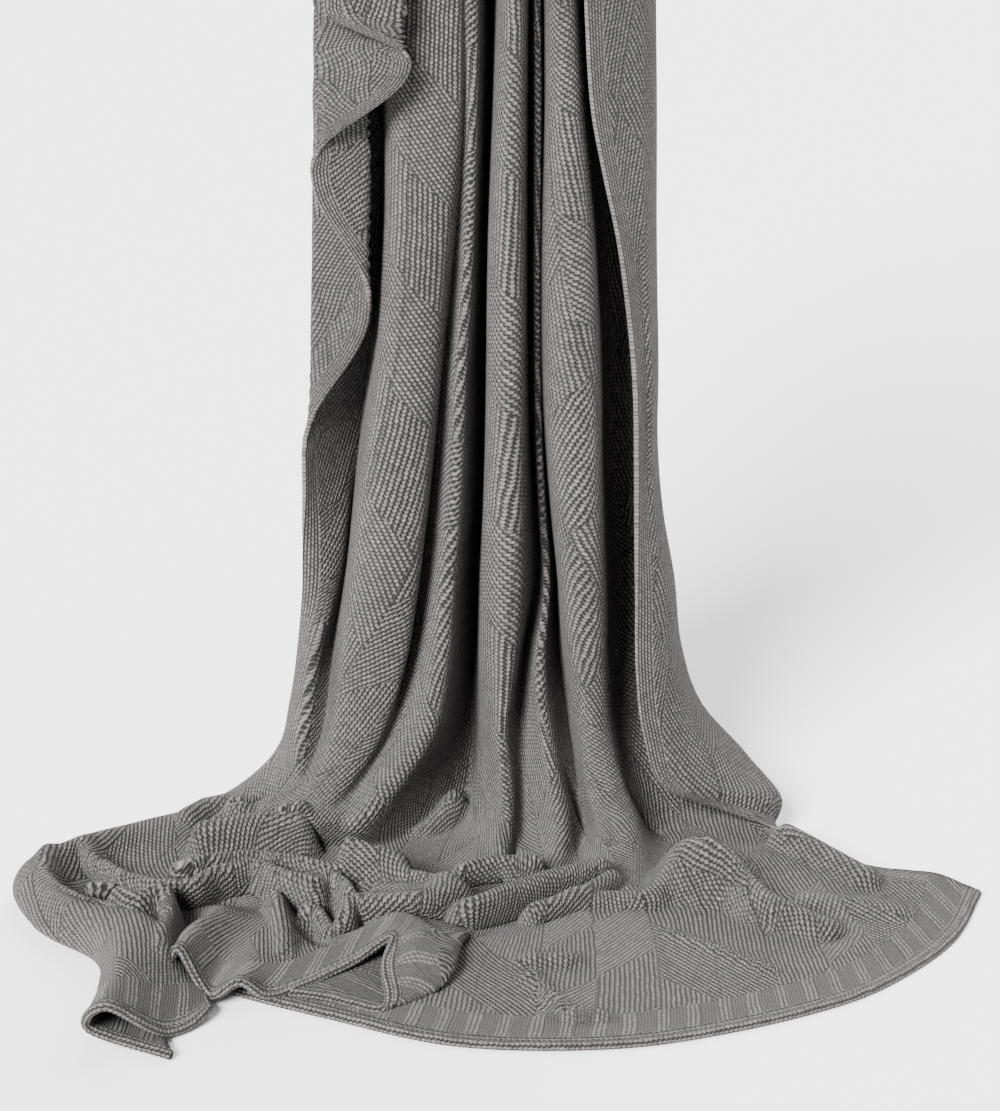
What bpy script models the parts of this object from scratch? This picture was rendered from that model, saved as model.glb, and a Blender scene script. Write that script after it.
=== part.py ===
"""A knit throw, hung by its top edge in a gathered column and pooled on the floor in front of it.

One sheet of cloth makes the whole piece. Its shape is a net: fold lines run down the cloth from the
top edge to the hem, and sections cross them. Smooth curves through the net give the surface, rolls
and creases are raised on the pooled part, and the surface then gets the cloth's thickness.
Lengths in the tables are millimetres: x to the right, y away from the front, z up from the floor.
"""

import bpy
import numpy as np

MM = 0.001
CLOTH_THICKNESS = 4.0
TOP_EDGE_HEIGHT = 1200.0
TOP_EDGE_MIDDLE = (-8.0, 5.0)
LEAST_CLEARANCE = 2.6
STEPS_ACROSS = 6
STEPS_POOLED = 8
STEPS_HANGING = 4
SHARE_OF_FACES_KEPT = 0.158
CLOTH_COLOUR = (0.235, 0.218, 0.205)
CLOTH_ROUGHNESS = 0.95

# The pooled part: each fold line's place (x, y, z) on eight sections, from the hem to the foot of the folds
# fold line, hem, band, apron, pool front, pool middle, pool back, skirt front, skirt back
POOLED = (
    ("left edge", (-228, -435, 4), (-252, -355, 3), (-292, -290, 3), (-332, -228, 3),
     (-345, -160, 3), (-318, -95, 3), (-272, -50, 4), (-225, -12, 8)),
    ("rim outer", (-287, -418, 16), (-286, -368, 14), (-297, -306, 14), (-352, -245, 12),
     (-375, -180, 12), (-348, -128, 12), (-290, -68, 12), (-240, -30, 14)),
    ("rim top", (-272, -431, 40), (-270, -375, 40), (-290, -300, 36), (-340, -230, 31),
     (-362, -182, 32), (-335, -140, 32), (-285, -86, 24), (-240, -54, 24)),
    ("rim inner", (-235, -408, 8), (-242, -365, 26), (-260, -292, 39), (-312, -222, 14),
     (-333, -182, 9), (-310, -138, 10), (-268, -100, 20), (-226, -68, 22)),
    ("left back", (-209, -372, 8), (-216, -338, 8), (-238, -272, 5), (-285, -215, 6),
     (-298, -180, 6), (-280, -145, 5), (-250, -112, 10), (-218, -58, 20)),
    ("left valley", (-238, -342, 6), (-243, -303, 7), (-228, -250, 5), (-255, -205, 5),
     (-265, -178, 5), (-252, -150, 5), (-222, -104, 6), (-190, -98, 26)),
    ("broad fold left", (-233, -334, 36), (-226, -296, 34), (-212, -242, 22), (-225, -200, 5),
     (-232, -175, 5), (-222, -150, 5), (-200, -100, 6), (-172, -108, 31)),
    ("broad fold right", (-210, -352, 8), (-204, -310, 16), (-186, -250, 16), (-195, -205, 5),
     (-200, -182, 5), (-190, -158, 5), (-172, -98, 5), (-150, -108, 34)),
    ("crease one", (-186, -362, 23), (-182, -316, 18), (-160, -255, 14), (-166, -208, 5),
     (-172, -182, 5), (-160, -152, 5), (-142, -95, 5), (-128, -106, 34)),
    ("slim fold", (-163, -352, 8), (-155, -310, 13), (-132, -250, 6), (-136, -208, 5),
     (-138, -178, 5), (-124, -144, 4), (-104, -92, 4), (-104, -108, 28)),
    ("deep gap", (-111, -316, 14), (-112, -278, 16), (-102, -240, 6), (-105, -200, 5),
     (-108, -165, 5), (-98, -135, 4), (-75, -95, 5), (-38, -35, 14)),
    ("middle fold left", (-80, -298, 26), (-74, -262, 26), (-72, -236, 14), (-72, -202, 5),
     (-72, -172, 5), (-62, -145, 5), (-38, -118, 7), (-18, -80, 18)),
    ("middle fold right", (-83, -330, 19), (-42, -318, 22), (-38, -270, 16), (-42, -220, 6),
     (-38, -188, 5), (-25, -162, 5), (-5, -140, 9), (4, -115, 24)),
    ("crease two", (-82, -369, 6), (-50, -346, 7), (-30, -278, 12), (-16, -228, 5),
     (-8, -190, 5), (2, -155, 5), (15, -125, 8), (18, -88, 14)),
    ("narrow fold", (-130, -352, 7), (-100, -318, 8), (-52, -282, 9), (0, -234, 5),
     (16, -200, 5), (28, -170, 5), (40, -145, 10), (48, -115, 26)),
    ("crease three", (-190, -338, 4), (-158, -300, 3), (-70, -284, 4), (14, -236, 4),
     (38, -200, 5), (52, -165, 5), (62, -130, 8), (66, -88, 16)),
    ("front fold left", (-121, -374, 3), (-90, -335, 3), (-24, -296, 4), (34, -248, 8),
     (60, -210, 10), (76, -175, 12), (84, -145, 16), (84, -118, 36)),
    ("front fold right", (-30, -414, 3), (-15, -368, 4), (25, -310, 6), (65, -258, 8),
     (88, -215, 10), (102, -178, 14), (108, -145, 22), (106, -115, 36)),
    ("trough left", (75, -418, 3), (80, -372, 4), (92, -312, 6), (112, -255, 8),
     (128, -200, 9), (135, -150, 9), (132, -105, 9), (122, -62, 16)),
    ("trough right", (160, -395, 3), (160, -350, 4), (160, -295, 6), (165, -240, 8),
     (172, -185, 10), (172, -135, 14), (168, -88, 10), (160, -40, 14)),
    ("right fold", (245, -353, 3), (240, -310, 4), (232, -262, 6), (226, -215, 8),
     (220, -168, 9), (210, -125, 12), (205, -88, 8), (224, -46, 24)),
    ("flap outer", (298, -307, 3), (285, -270, 4), (272, -232, 6), (258, -195, 8),
     (245, -155, 10), (230, -118, 12), (218, -86, 8), (222, -60, 34)),
    ("flap inner", (342, -248, 3), (325, -222, 5), (305, -200, 6), (285, -172, 8),
     (265, -142, 12), (245, -112, 14), (229, -86, 10), (206, -72, 36)),
    ("right edge", (372, -172, 3), (348, -155, 8), (324, -146, 8), (300, -136, 6),
     (278, -122, 5), (260, -106, 6), (240, -88, 12), (178, -72, 30)),
)

# The hanging part: each fold line's place (x, y) at these heights. The left edge's laps have their own table
HANGING_HEIGHTS = (50, 90, 140, 200, 280, 370, 480, 600, 670)
HANGING = (
    ("left valley", (-162, -84), (-143, -48), (-137, 4), (-126, 20), (-117, 45), (-107, 50),
     (-96, 52), (-94, 55), (-93, 55)),
    ("broad fold left", (-148, -92), (-131, -68), (-124, -44), (-116, -38), (-107, -38), (-94, -36),
     (-84, -34), (-81, -32), (-81, -30)),
    ("broad fold right", (-132, -94), (-102, -72), (-82, -50), (-72, -45), (-64, -44), (-56, -42),
     (-47, -42), (-37, -40), (-37, -38)),
    ("crease one", (-114, -82), (-87, -52), (-77, -6), (-66, 6), (-55, 6), (-46, 2),
     (-35, -8), (-28, -26), (-28, -28)),
    ("slim fold", (-92, -106), (-58, -74), (-46, -50), (-40, -40), (-33, -34), (-29, -30),
     (-22, -26), (-17, -22), (-16, -20)),
    ("deep gap", (-28, 0), (-25, 30), (-21, 60), (-18, 80), (-13, 85), (-12, 88),
     (-9, 90), (-7, 90), (-7, 90)),
    ("middle fold left", (-14, -45), (-13, -28), (-13, -26), (-12, -26), (-9, -28), (-7, -30),
     (-6, -31), (-1, -32), (2, -31)),
    ("middle fold right", (5, -85), (2, -60), (8, -50), (14, -46), (15, -46), (15, -46),
     (15, -45), (16, -43), (17, -40)),
    ("crease two", (18, -50), (16, -15), (20, 10), (31, 38), (27, 52), (24, 58),
     (23, 58), (23, 58), (23, 58)),
    ("narrow fold", (45, -85), (37, -58), (33, -40), (38, -8), (33, -8), (30, -10),
     (29, -14), (29, -18), (28, -18)),
    ("crease three", (62, -45), (55, -5), (48, 30), (46, 50), (38, 58), (33, 58),
     (33, 54), (34, 50), (33, 50)),
    ("front fold left", (75, -92), (66, -62), (59, -48), (54, -45), (46, -40), (40, -38),
     (38, -38), (39, -37), (38, -36)),
    ("front fold right", (98, -88), (87, -60), (82, -52), (80, -50), (76, -48), (74, -46),
     (69, -45), (60, -40), (56, -38)),
    ("trough left", (108, -25), (99, 10), (93, 35), (92, 55), (87, 66), (85, 72),
     (79, 74), (72, 72), (69, 70)),
    ("trough right", (150, -5), (132, 25), (119, 48), (115, 64), (112, 70), (110, 74),
     (107, 78), (105, 80), (104, 80)),
    ("right fold", (202, -8), (165, 6), (147, 16), (140, 20), (127, 24), (125, 26),
     (122, 26), (120, 26), (118, 26)),
    ("flap outer", (192, -50), (157, -32), (140, -26), (134, -22), (122, -16), (120, -12),
     (114, -14), (110, -16), (109, -16)),
    ("flap inner", (165, -72), (139, -54), (127, -44), (122, -38), (115, -26), (113, -20),
     (105, -24), (90, -34), (86, -37)),
    ("right edge", (132, -74), (116, -62), (110, -52), (109, -46), (108, -38), (106, -34),
     (93, -38), (69, -51), (64, -52)),
)

# Low down the left part hangs as one layer: each of its lines' place (x, y) at these heights
LOW_HEIGHTS = (50, 90, 140, 200, 255, 310)
LOW_LEFT = (
    ("left edge", (-185, 0), (-173, 5), (-165, 4), (-160, -2), (-160, -8), (-157, -12)),
    ("rim outer", (-188, -18), (-172, -14), (-163, -4), (-153, -5), (-152, -8), (-149, -8)),
    ("rim top", (-186, -38), (-171, -32), (-160, -13), (-146, -5), (-143, -4), (-141, -2)),
    ("rim inner", (-180, -58), (-166, -50), (-156, -21), (-140, -3), (-134, 3), (-132, 6)),
    ("left back", (-170, -74), (-158, -62), (-150, -25), (-133, 5), (-125, 13), (-123, 15)),
)

# Higher up the left edge swings from side to side, and each swing laps over the fold behind it.
# swing, height, x, y of the edge where it turns
SWINGS = (
    ("out of the top lap", 672, -130, -66),
    ("over the broad fold", 633, -66, -70),
    ("back to the outside", 547, -144, -46),
    ("into the valley", 438, -101, -32),
    ("back to the outside again", 312, -157, -12),
)
# Each lap's fold turns back at this place (x, y) at the top edge and, lower down, where the edge swings past it
LAP_FOLDS = (
    ("front lap", (-72, -66), (-66, -70)),
    ("outer lap", (-131, -44), (-144, -46)),
    ("inner lap", (-93, -25), (-101, -32)),
    ("back lap", (-134, -5), (-157, -12)),
)
LAP_ROUNDING = 7.0
LAP_SAMPLES = 400
LAPS_START = (215.0, 300.0)

# Sections are taken at these heights. Above the last one in the tables the folds run straight up
HEIGHTS = (50, 90, 140, 200, 255, 312, 375, 438, 492, 547, 590, 633, 652, 672, 780, 990, TOP_EDGE_HEIGHT)

# Rolls across the pooled cloth: height at the first and at the last point, half width, how far the crest leans
# to the front, and the crest's points (x, y)
ROLLS = (
    ("tail of the slim fold", 32, 13, 18, 4, ((-38, -44), (-48, -62), (-57, -70), (-64, -74))),
    ("sweep of the slim fold", 44, 38, 18, 0, ((-160, -106), (-191, -110), (-236, -119))),
    ("lobe at the back", 32, 30, 17, 4, ((-208, -74), (-224, -62), (-240, -64), (-252, -79))),
    ("first rope", 26, 40, 15, 19, ((-328, -154), (-308, -171), (-289, -195), (-262, -213), (-235, -215),
                                    (-221, -196), (-192, -184), (-178, -195), (-160, -214), (-140, -225))),
    ("turned end of the first rope", 41, 26, 12, 12, ((-130, -212), (-118, -222), (-113, -242), (-117, -258))),
    ("second rope", 32, 36, 15, 18, ((-249, -183), (-233, -173), (-215, -165), (-188, -163), (-155, -175),
                                     (-123, -193), (-92, -197), (-61, -207), (-42, -219))),
    ("low rope in front of it", 28, 28, 10, 9, ((-106, -208), (-77, -213), (-49, -216))),
    ("peak behind the second rope", 50, 40, 16, 10, ((-116, -174), (-96, -183), (-77, -185))),
    ("short roll", 32, 38, 24, 24, ((-104, -240), (-81, -243), (-57, -242), (-34, -228))),
    ("thick front roll", 34, 38, 20, 25, ((-26, -255), (-12, -245), (7, -230), (34, -210), (59, -198),
                                          (77, -188))),
    ("nose of the front roll", 24, 28, 15, 12, ((27, -238), (61, -219), (86, -190))),
    ("small roll", 26, 30, 12, 13, ((-30, -172), (-2, -162), (27, -166))),
    ("bowl rim", 32, 25, 14, 8, ((-355, -160), (-351, -197), (-337, -221), (-318, -234), (-299, -239))),
    ("curl in the bowl", 24, 22, 8, 6, ((-315, -200), (-304, -201), (-297, -198))),
    ("top of the tube", 41, 40, 15, 8, ((-287, -246), (-273, -255), (-258, -238))),
    ("right side of the tube", 38, 34, 12, 6, ((-252, -240), (-248, -259), (-246, -302), (-245, -341))),
    ("panel ridge", 26, 18, 14, 5, ((-171, -221), (-162, -272), (-158, -306))),
    ("small panel ridge", 22, 12, 10, 5, ((-146, -232), (-138, -235), (-131, -250), (-128, -258))),
    ("cuff", 27, 16, 22, 0, ((-60, -302), (-64, -340))),
    ("right mound", 55, 50, 42, 16, ((150, -190), (168, -198))),
    ("ridge to the right of the mound", 50, 20, 22, 10, ((160, -196), (185, -215), (201, -238), (243, -257))),
    ("ridge to the left of the mound", 44, 18, 18, 8, ((153, -205), (131, -200), (110, -212))),
    ("front hump", 20, 20, 17, 6, ((57, -217), (84, -212), (116, -214))),
    ("far right ridge", 30, 22, 20, 4, ((229, -108), (260, -144), (284, -171))),
    ("slanting front ridge", 12, 9, 11, 3, ((128, -262), (163, -285), (199, -314))),
    ("front pucker", 13, 12, 10, 3, ((22, -325), (37, -363), (47, -385), (72, -386))),
    ("front bump", 15, 15, 15, 2, ((20, -305), (52, -305))),
    ("far right swell", 15, 13, 26, 3, ((238, -206), (300, -216))),
)
# Creases pressed into it, fading out at this height: depth, half width and the crease's points (x, y)
CREASES_END = 95.0
CREASES = (
    ("pocket", 7, 10, ((-148, -253), (-126, -281))),
    ("crease in the front fold", 12, 9, ((52, -60), (71, -77), (79, -99), (91, -128))),
    ("crease of the bell", 8, 9, ((-15, -66), (0, -71), (10, -120))),
    ("dark crease", 12, 9, ((94, -60), (108, -70), (123, -78))),
    ("behind the long roll", 10, 14, ((-112, -134), (-92, -132))),
)
ROLL_FULLNESS = 1.3
BLEND_POWER = 4


def smooth_curve(knots, values, at):
    """Cubic curve through the values: each piece leaves a knot along the line that joins its neighbours."""
    knots = np.asarray(knots, float)
    values = np.asarray(values, float)
    slopes = np.gradient(values, knots, axis=0, edge_order=1)
    index = np.clip(np.searchsorted(knots, at, side="right") - 1, 0, len(knots) - 2)
    span = knots[index + 1] - knots[index]
    part = (at - knots[index]) / span
    shape = (-1,) + (1,) * (values.ndim - 1)
    span, part = span.reshape(shape), part.reshape(shape)
    first, second = values[index], values[index + 1]
    keep = part * part * (3 - 2 * part)
    leave = part * (1 - part) ** 2
    arrive = part * part * (part - 1)
    return first + (second - first) * keep + span * (slopes[index] * leave + slopes[index + 1] * arrive)


def at_heights(known, table, heights):
    """Each fold line's plan place at the given heights, as heights by fold lines by (x, y)."""
    inside = np.clip(heights, known[0], known[-1])
    lines = [smooth_curve(known, np.array(row[1:], float), inside) for row in table]
    return np.stack(lines, axis=1)


def hanging_sections():
    """The net's sections above the floor, as heights by fold lines by (x, y, z)."""
    heights = np.array(HEIGHTS, float)
    plan = [at_heights(LOW_HEIGHTS, LOW_LEFT, heights), at_heights(HANGING_HEIGHTS, HANGING, heights)]
    plan = np.concatenate(plan, axis=1)
    rise = np.broadcast_to(heights[:, None, None], plan.shape[:2] + (1,))
    return np.concatenate([plan, rise], axis=2)


def net_of_folds():
    """All sections from the hem to the top edge, as sections by fold lines by (x, y, z)."""
    pooled = np.array([row[1:] for row in POOLED], float).transpose(1, 0, 2)
    return np.concatenate([pooled, hanging_sections()])


def edge_swing(height):
    """Place (x, y) of the left edge: an easy wave from each turn to the next, straight above the highest."""
    turns = np.array([row[1:] for row in SWINGS], float)[::-1]
    height = np.clip(height, turns[0, 0], turns[-1, 0])
    index = min(int(np.searchsorted(turns[:, 0], height, side="right")) - 1, len(turns) - 2)
    part = (height - turns[index, 0]) / (turns[index + 1, 0] - turns[index, 0])
    part = (1 - np.cos(np.pi * part)) / 2
    return turns[index, 1:] + part * (turns[index + 1, 1:] - turns[index, 1:])


def along_path(points, count):
    """So many places, evenly spaced, along the line through the points (x, y)."""
    steps = np.linalg.norm(np.diff(points, axis=0), axis=1)
    travel = np.concatenate([[0], np.cumsum(steps)])
    places = np.linspace(0, travel[-1], count)
    return np.stack([np.interp(places, travel, points[:, axis]) for axis in range(2)], axis=1)


def lapped_section(height, valley, count):
    """The left part's section at a height: from the edge round each lap fold above its turn, to the valley."""
    corners = [edge_swing(height)]
    for (_, at_top, at_turn), (_, turn, _, _) in zip(LAP_FOLDS, SWINGS[1:]):
        if height > turn:
            part = (height - turn) / (TOP_EDGE_HEIGHT - turn)
            corners.append(np.array(at_turn) + part ** 0.5 * np.subtract(at_top, at_turn))
    path = along_path(np.array(corners + [valley]), LAP_SAMPLES)
    reach = max(1, round(LAP_ROUNDING / np.linalg.norm(path[1] - path[0]) / 2))
    kernel = np.ones(2 * reach + 1) / (2 * reach + 1)
    for _ in range(2):
        ends = (2 * path[:1] - path[reach:0:-1], path, 2 * path[-1:] - path[-2:-reach - 2:-1])
        padded = np.concatenate(ends)
        path = np.stack([np.convolve(padded[:, axis], kernel, mode="valid") for axis in range(2)], axis=1)
    return along_path(path, count)


def lap_left_part(grid, columns):
    """Puts the swinging edge and its laps into the left columns of each hanging row, faded in from below."""
    low, high = LAPS_START
    for row in grid:
        height = row[columns - 1, 2]
        if height > low:
            share = min((height - low) / (high - low), 1.0)
            share = share * share * (3 - 2 * share)
            lapped = lapped_section(height, row[columns - 1, :2], columns)
            row[:columns, :2] += share * (lapped - row[:columns, :2])
    return grid


def beside_line(plan, points):
    """Each plan point's distance to the line through the points, and its nearest place's share of the way."""
    points = np.array(points, float)
    runs = np.diff(points, axis=0)
    lengths = np.hypot(runs[:, 0], runs[:, 1])
    before = np.concatenate([[0], np.cumsum(lengths)])
    nearest = np.full(plan.shape[:-1], np.inf)
    share = np.zeros(plan.shape[:-1])
    for start, run, length, done in zip(points[:-1], runs, lengths, before):
        part = np.clip(((plan - start) @ run) / length ** 2, 0, 1)
        away = np.linalg.norm(plan - start - part[..., None] * run, axis=-1)
        share = np.where(away < nearest, (done + part * length) / before[-1], share)
        nearest = np.minimum(nearest, away)
    return nearest, share


def rounded(away, half_width):
    """A ridge's shape across: 1 on its crest and 0 from its half width on."""
    return (1 - np.clip(away / half_width, 0, 1) ** 2) ** ROLL_FULLNESS


def raise_rolls(surface):
    """Raises each roll's rounded crest where it is higher than the cloth, and leans it to the front."""
    plan = surface[..., :2].copy()
    total = surface[..., 2] ** BLEND_POWER
    forward = np.zeros(total.shape)
    for _, first_height, last_height, half_width, lean, points in ROLLS:
        away, share = beside_line(plan - (0, lean), points)
        ridge = rounded(away, half_width)
        part = ((first_height + share * (last_height - first_height)) * ridge) ** BLEND_POWER
        total += part
        forward += part * lean * ridge
    surface[..., 1] -= forward / total
    surface[..., 2] = total ** (1 / BLEND_POWER)
    low = np.clip(1 - surface[..., 2] / CREASES_END, 0, 1)
    for _, depth, half_width, points in CREASES:
        surface[..., 2] -= low * depth * rounded(beside_line(plan, points)[0], half_width)
    return surface


def stepped(knots, steps):
    """Places from the first knot to the last, with so many even steps in each interval."""
    places = [np.linspace(a, b, count, endpoint=False) for a, b, count in zip(knots[:-1], knots[1:], steps)]
    return np.append(np.concatenate(places), knots[-1])


def cloth_surface(steps_across, steps_pooled, steps_hanging):
    """Middle of the cloth as a grid: rows from the hem up, columns from the left edge to the right edge."""
    net = net_of_folds()
    lines = np.arange(net.shape[1], dtype=float)
    across = stepped(lines, [steps_across] * (len(lines) - 1))
    grid = smooth_curve(lines, net.transpose(1, 0, 2), across).transpose(1, 0, 2)
    gaps = np.linalg.norm(np.diff(net, axis=0), axis=2).mean(axis=1)
    travel = np.concatenate([[0], np.cumsum(gaps)])
    pooled = len(POOLED[0]) - 1
    steps_along = [steps_pooled] * pooled + [steps_hanging] * (len(gaps) - pooled)
    grid = smooth_curve(travel, grid, stepped(travel, steps_along))
    grid = lap_left_part(grid, len(LOW_LEFT) * steps_across + 1)
    grid = raise_rolls(grid)
    grid[..., 2] = np.maximum(grid[..., 2], LEAST_CLEARANCE)
    return grid


def surface_mesh(name, grid):
    """An open mesh of four-sided faces on the grid, facing the front."""
    rows, columns = grid.shape[:2]
    index = np.arange(rows * columns).reshape(rows, columns)
    faces = np.stack([index[:-1, :-1], index[:-1, 1:], index[1:, 1:], index[1:, :-1]], axis=-1)
    mesh = bpy.data.meshes.new(name)
    mesh.from_pydata(grid.reshape(-1, 3).tolist(), [], faces.reshape(-1, 4).tolist())
    mesh.polygons.foreach_set("use_smooth", np.ones(len(mesh.polygons), bool))
    return mesh


def cloth_material():
    """Warm grey yarn, matt all over."""
    material = bpy.data.materials.new("grey knit")
    material.use_nodes = True
    shader = material.node_tree.nodes["Principled BSDF"]
    shader.inputs["Base Color"].default_value = (*CLOTH_COLOUR, 1)
    shader.inputs["Roughness"].default_value = CLOTH_ROUGHNESS
    shader.inputs["Metallic"].default_value = 0.0
    return material


def build_blanket():
    """The whole blanket, with its origin at the middle of the top edge."""
    for old in list(bpy.data.objects):
        bpy.data.objects.remove(old, do_unlink=True)
    collection = bpy.data.collections.new("knit blanket")
    bpy.context.scene.collection.children.link(collection)
    grid = cloth_surface(STEPS_ACROSS, STEPS_POOLED, STEPS_HANGING)
    grid = (grid - (*TOP_EDGE_MIDDLE, TOP_EDGE_HEIGHT)) * MM
    blanket = bpy.data.objects.new("blanket", surface_mesh("blanket", grid))
    blanket.data.materials.append(cloth_material())
    thin_out = blanket.modifiers.new("fewer faces where the cloth is smooth", "DECIMATE")
    thin_out.ratio = SHARE_OF_FACES_KEPT
    thicken = blanket.modifiers.new("cloth thickness", "SOLIDIFY")
    thicken.thickness = CLOTH_THICKNESS * MM
    thicken.offset = 0.0
    collection.objects.link(blanket)


build_blanket()
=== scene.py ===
# %% [markdown]
# # A knit throw, hung and pooled on the floor
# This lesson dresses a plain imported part: one sheet of chunky knit that hangs by its gathered top
# edge and lies in soft rolls on the floor. The frame gives the place and size of the plain sheet.
# The finished pieces are in metres in that frame, with the origin at the middle of the top edge.

# %% Load the frame
import math
import bpy
import numpy as np
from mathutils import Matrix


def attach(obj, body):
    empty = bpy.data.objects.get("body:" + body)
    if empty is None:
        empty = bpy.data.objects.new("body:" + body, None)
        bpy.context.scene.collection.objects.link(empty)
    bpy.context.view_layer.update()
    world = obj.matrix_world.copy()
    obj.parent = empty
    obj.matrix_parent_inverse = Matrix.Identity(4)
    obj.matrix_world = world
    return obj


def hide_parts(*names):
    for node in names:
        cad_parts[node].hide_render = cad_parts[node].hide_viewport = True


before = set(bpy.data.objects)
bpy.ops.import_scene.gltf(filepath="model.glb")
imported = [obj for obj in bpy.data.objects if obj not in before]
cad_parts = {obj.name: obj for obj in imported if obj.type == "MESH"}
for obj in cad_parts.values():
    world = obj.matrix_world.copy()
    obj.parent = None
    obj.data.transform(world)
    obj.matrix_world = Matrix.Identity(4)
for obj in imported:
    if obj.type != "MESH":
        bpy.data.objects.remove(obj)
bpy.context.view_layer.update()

# %% [markdown]
# ## Sizes
# The throw is about 1.4 by 1.7 metres when it lies flat, and 4 mm thick. It could be draped by a cloth
# simulation, but a simulation finds folds of its own. Here each fold is listed, as a maker would
# describe it. Lengths in the tables are millimetres: x to the right, y away from the front and
# z up from the floor.

# %% Driving sizes
MM = 0.001
CLOTH_THICKNESS = 4.0
TOP_EDGE_HEIGHT = 1200.0
# The top edge's middle on the plan, and the least height of the cloth's middle over the floor
TOP_EDGE_MIDDLE = (-8.0, 5.0)
LEAST_CLEARANCE = 2.6
print("top edge:", TOP_EDGE_HEIGHT, "mm over the floor")

# %% [markdown]
# ## Folds on the floor
# Every crest and every valley is a line that runs up the cloth, and the table lists the lines from
# the left side edge to the right one. It follows them over the floor, from the hem to the foot of
# the hanging folds. The left part of the hem has a raised rim and two tube-like loops, and the
# right part lies almost flat.

# %% The pooled part
# Each fold line's place (x, y, z) on eight sections: hem, band, apron, pool front, pool middle,
# pool back, skirt front and skirt back
POOLED = (
    ("left edge", (-228, -435, 4), (-252, -355, 3), (-292, -290, 3), (-332, -228, 3),
     (-345, -160, 3), (-318, -95, 3), (-272, -50, 4), (-225, -12, 8)),
    ("rim outer", (-287, -418, 16), (-286, -368, 14), (-297, -306, 14), (-352, -245, 12),
     (-375, -180, 12), (-348, -128, 12), (-290, -68, 12), (-240, -30, 14)),
    ("rim top", (-272, -431, 40), (-270, -375, 40), (-290, -300, 36), (-340, -230, 31),
     (-362, -182, 32), (-335, -140, 32), (-285, -86, 24), (-240, -54, 24)),
    ("rim inner", (-235, -408, 8), (-242, -365, 26), (-260, -292, 39), (-312, -222, 14),
     (-333, -182, 9), (-310, -138, 10), (-268, -100, 20), (-226, -68, 22)),
    ("left back", (-209, -372, 8), (-216, -338, 8), (-238, -272, 5), (-285, -215, 6),
     (-298, -180, 6), (-280, -145, 5), (-250, -112, 10), (-218, -58, 20)),
    ("left valley", (-238, -342, 6), (-243, -303, 7), (-228, -250, 5), (-255, -205, 5),
     (-265, -178, 5), (-252, -150, 5), (-222, -104, 6), (-190, -98, 26)),
    ("broad fold left", (-233, -334, 36), (-226, -296, 34), (-212, -242, 22), (-225, -200, 5),
     (-232, -175, 5), (-222, -150, 5), (-200, -100, 6), (-172, -108, 31)),
    ("broad fold right", (-210, -352, 8), (-204, -310, 16), (-186, -250, 16), (-195, -205, 5),
     (-200, -182, 5), (-190, -158, 5), (-172, -98, 5), (-150, -108, 34)),
    ("crease one", (-186, -362, 23), (-182, -316, 18), (-160, -255, 14), (-166, -208, 5),
     (-172, -182, 5), (-160, -152, 5), (-142, -95, 5), (-128, -106, 34)),
    ("slim fold", (-163, -352, 8), (-155, -310, 13), (-132, -250, 6), (-136, -208, 5),
     (-138, -178, 5), (-124, -144, 4), (-104, -92, 4), (-104, -108, 28)),
    ("deep gap", (-111, -316, 14), (-112, -278, 16), (-102, -240, 6), (-105, -200, 5),
     (-108, -165, 5), (-98, -135, 4), (-75, -95, 5), (-38, -35, 14)),
    ("middle fold left", (-80, -298, 26), (-74, -262, 26), (-72, -236, 14), (-72, -202, 5),
     (-72, -172, 5), (-62, -145, 5), (-38, -118, 7), (-18, -80, 18)),
    ("middle fold right", (-83, -330, 19), (-42, -318, 22), (-38, -270, 16), (-42, -220, 6),
     (-38, -188, 5), (-25, -162, 5), (-5, -140, 9), (4, -115, 24)),
    ("crease two", (-82, -369, 6), (-50, -346, 7), (-30, -278, 12), (-16, -228, 5),
     (-8, -190, 5), (2, -155, 5), (15, -125, 8), (18, -88, 14)),
    ("narrow fold", (-130, -352, 7), (-100, -318, 8), (-52, -282, 9), (0, -234, 5),
     (16, -200, 5), (28, -170, 5), (40, -145, 10), (48, -115, 26)),
    ("crease three", (-190, -338, 4), (-158, -300, 3), (-70, -284, 4), (14, -236, 4),
     (38, -200, 5), (52, -165, 5), (62, -130, 8), (66, -88, 16)),
    ("front fold left", (-121, -374, 3), (-90, -335, 3), (-24, -296, 4), (34, -248, 8),
     (60, -210, 10), (76, -175, 12), (84, -145, 16), (84, -118, 36)),
    ("front fold right", (-30, -414, 3), (-15, -368, 4), (25, -310, 6), (65, -258, 8),
     (88, -215, 10), (102, -178, 14), (108, -145, 22), (106, -115, 36)),
    ("trough left", (75, -418, 3), (80, -372, 4), (92, -312, 6), (112, -255, 8),
     (128, -200, 9), (135, -150, 9), (132, -105, 9), (122, -62, 16)),
    ("trough right", (160, -395, 3), (160, -350, 4), (160, -295, 6), (165, -240, 8),
     (172, -185, 10), (172, -135, 14), (168, -88, 10), (160, -40, 14)),
    ("right fold", (245, -353, 3), (240, -310, 4), (232, -262, 6), (226, -215, 8),
     (220, -168, 9), (210, -125, 12), (205, -88, 8), (224, -46, 24)),
    ("flap outer", (298, -307, 3), (285, -270, 4), (272, -232, 6), (258, -195, 8),
     (245, -155, 10), (230, -118, 12), (218, -86, 8), (222, -60, 34)),
    ("flap inner", (342, -248, 3), (325, -222, 5), (305, -200, 6), (285, -172, 8),
     (265, -142, 12), (245, -112, 14), (229, -86, 10), (206, -72, 36)),
    ("right edge", (372, -172, 3), (348, -155, 8), (324, -146, 8), (300, -136, 6),
     (278, -122, 5), (260, -106, 6), (240, -88, 12), (178, -72, 30)),
)
print("fold lines on the floor:", len(POOLED), "with", len(POOLED[0]) - 1, "sections each")

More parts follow.
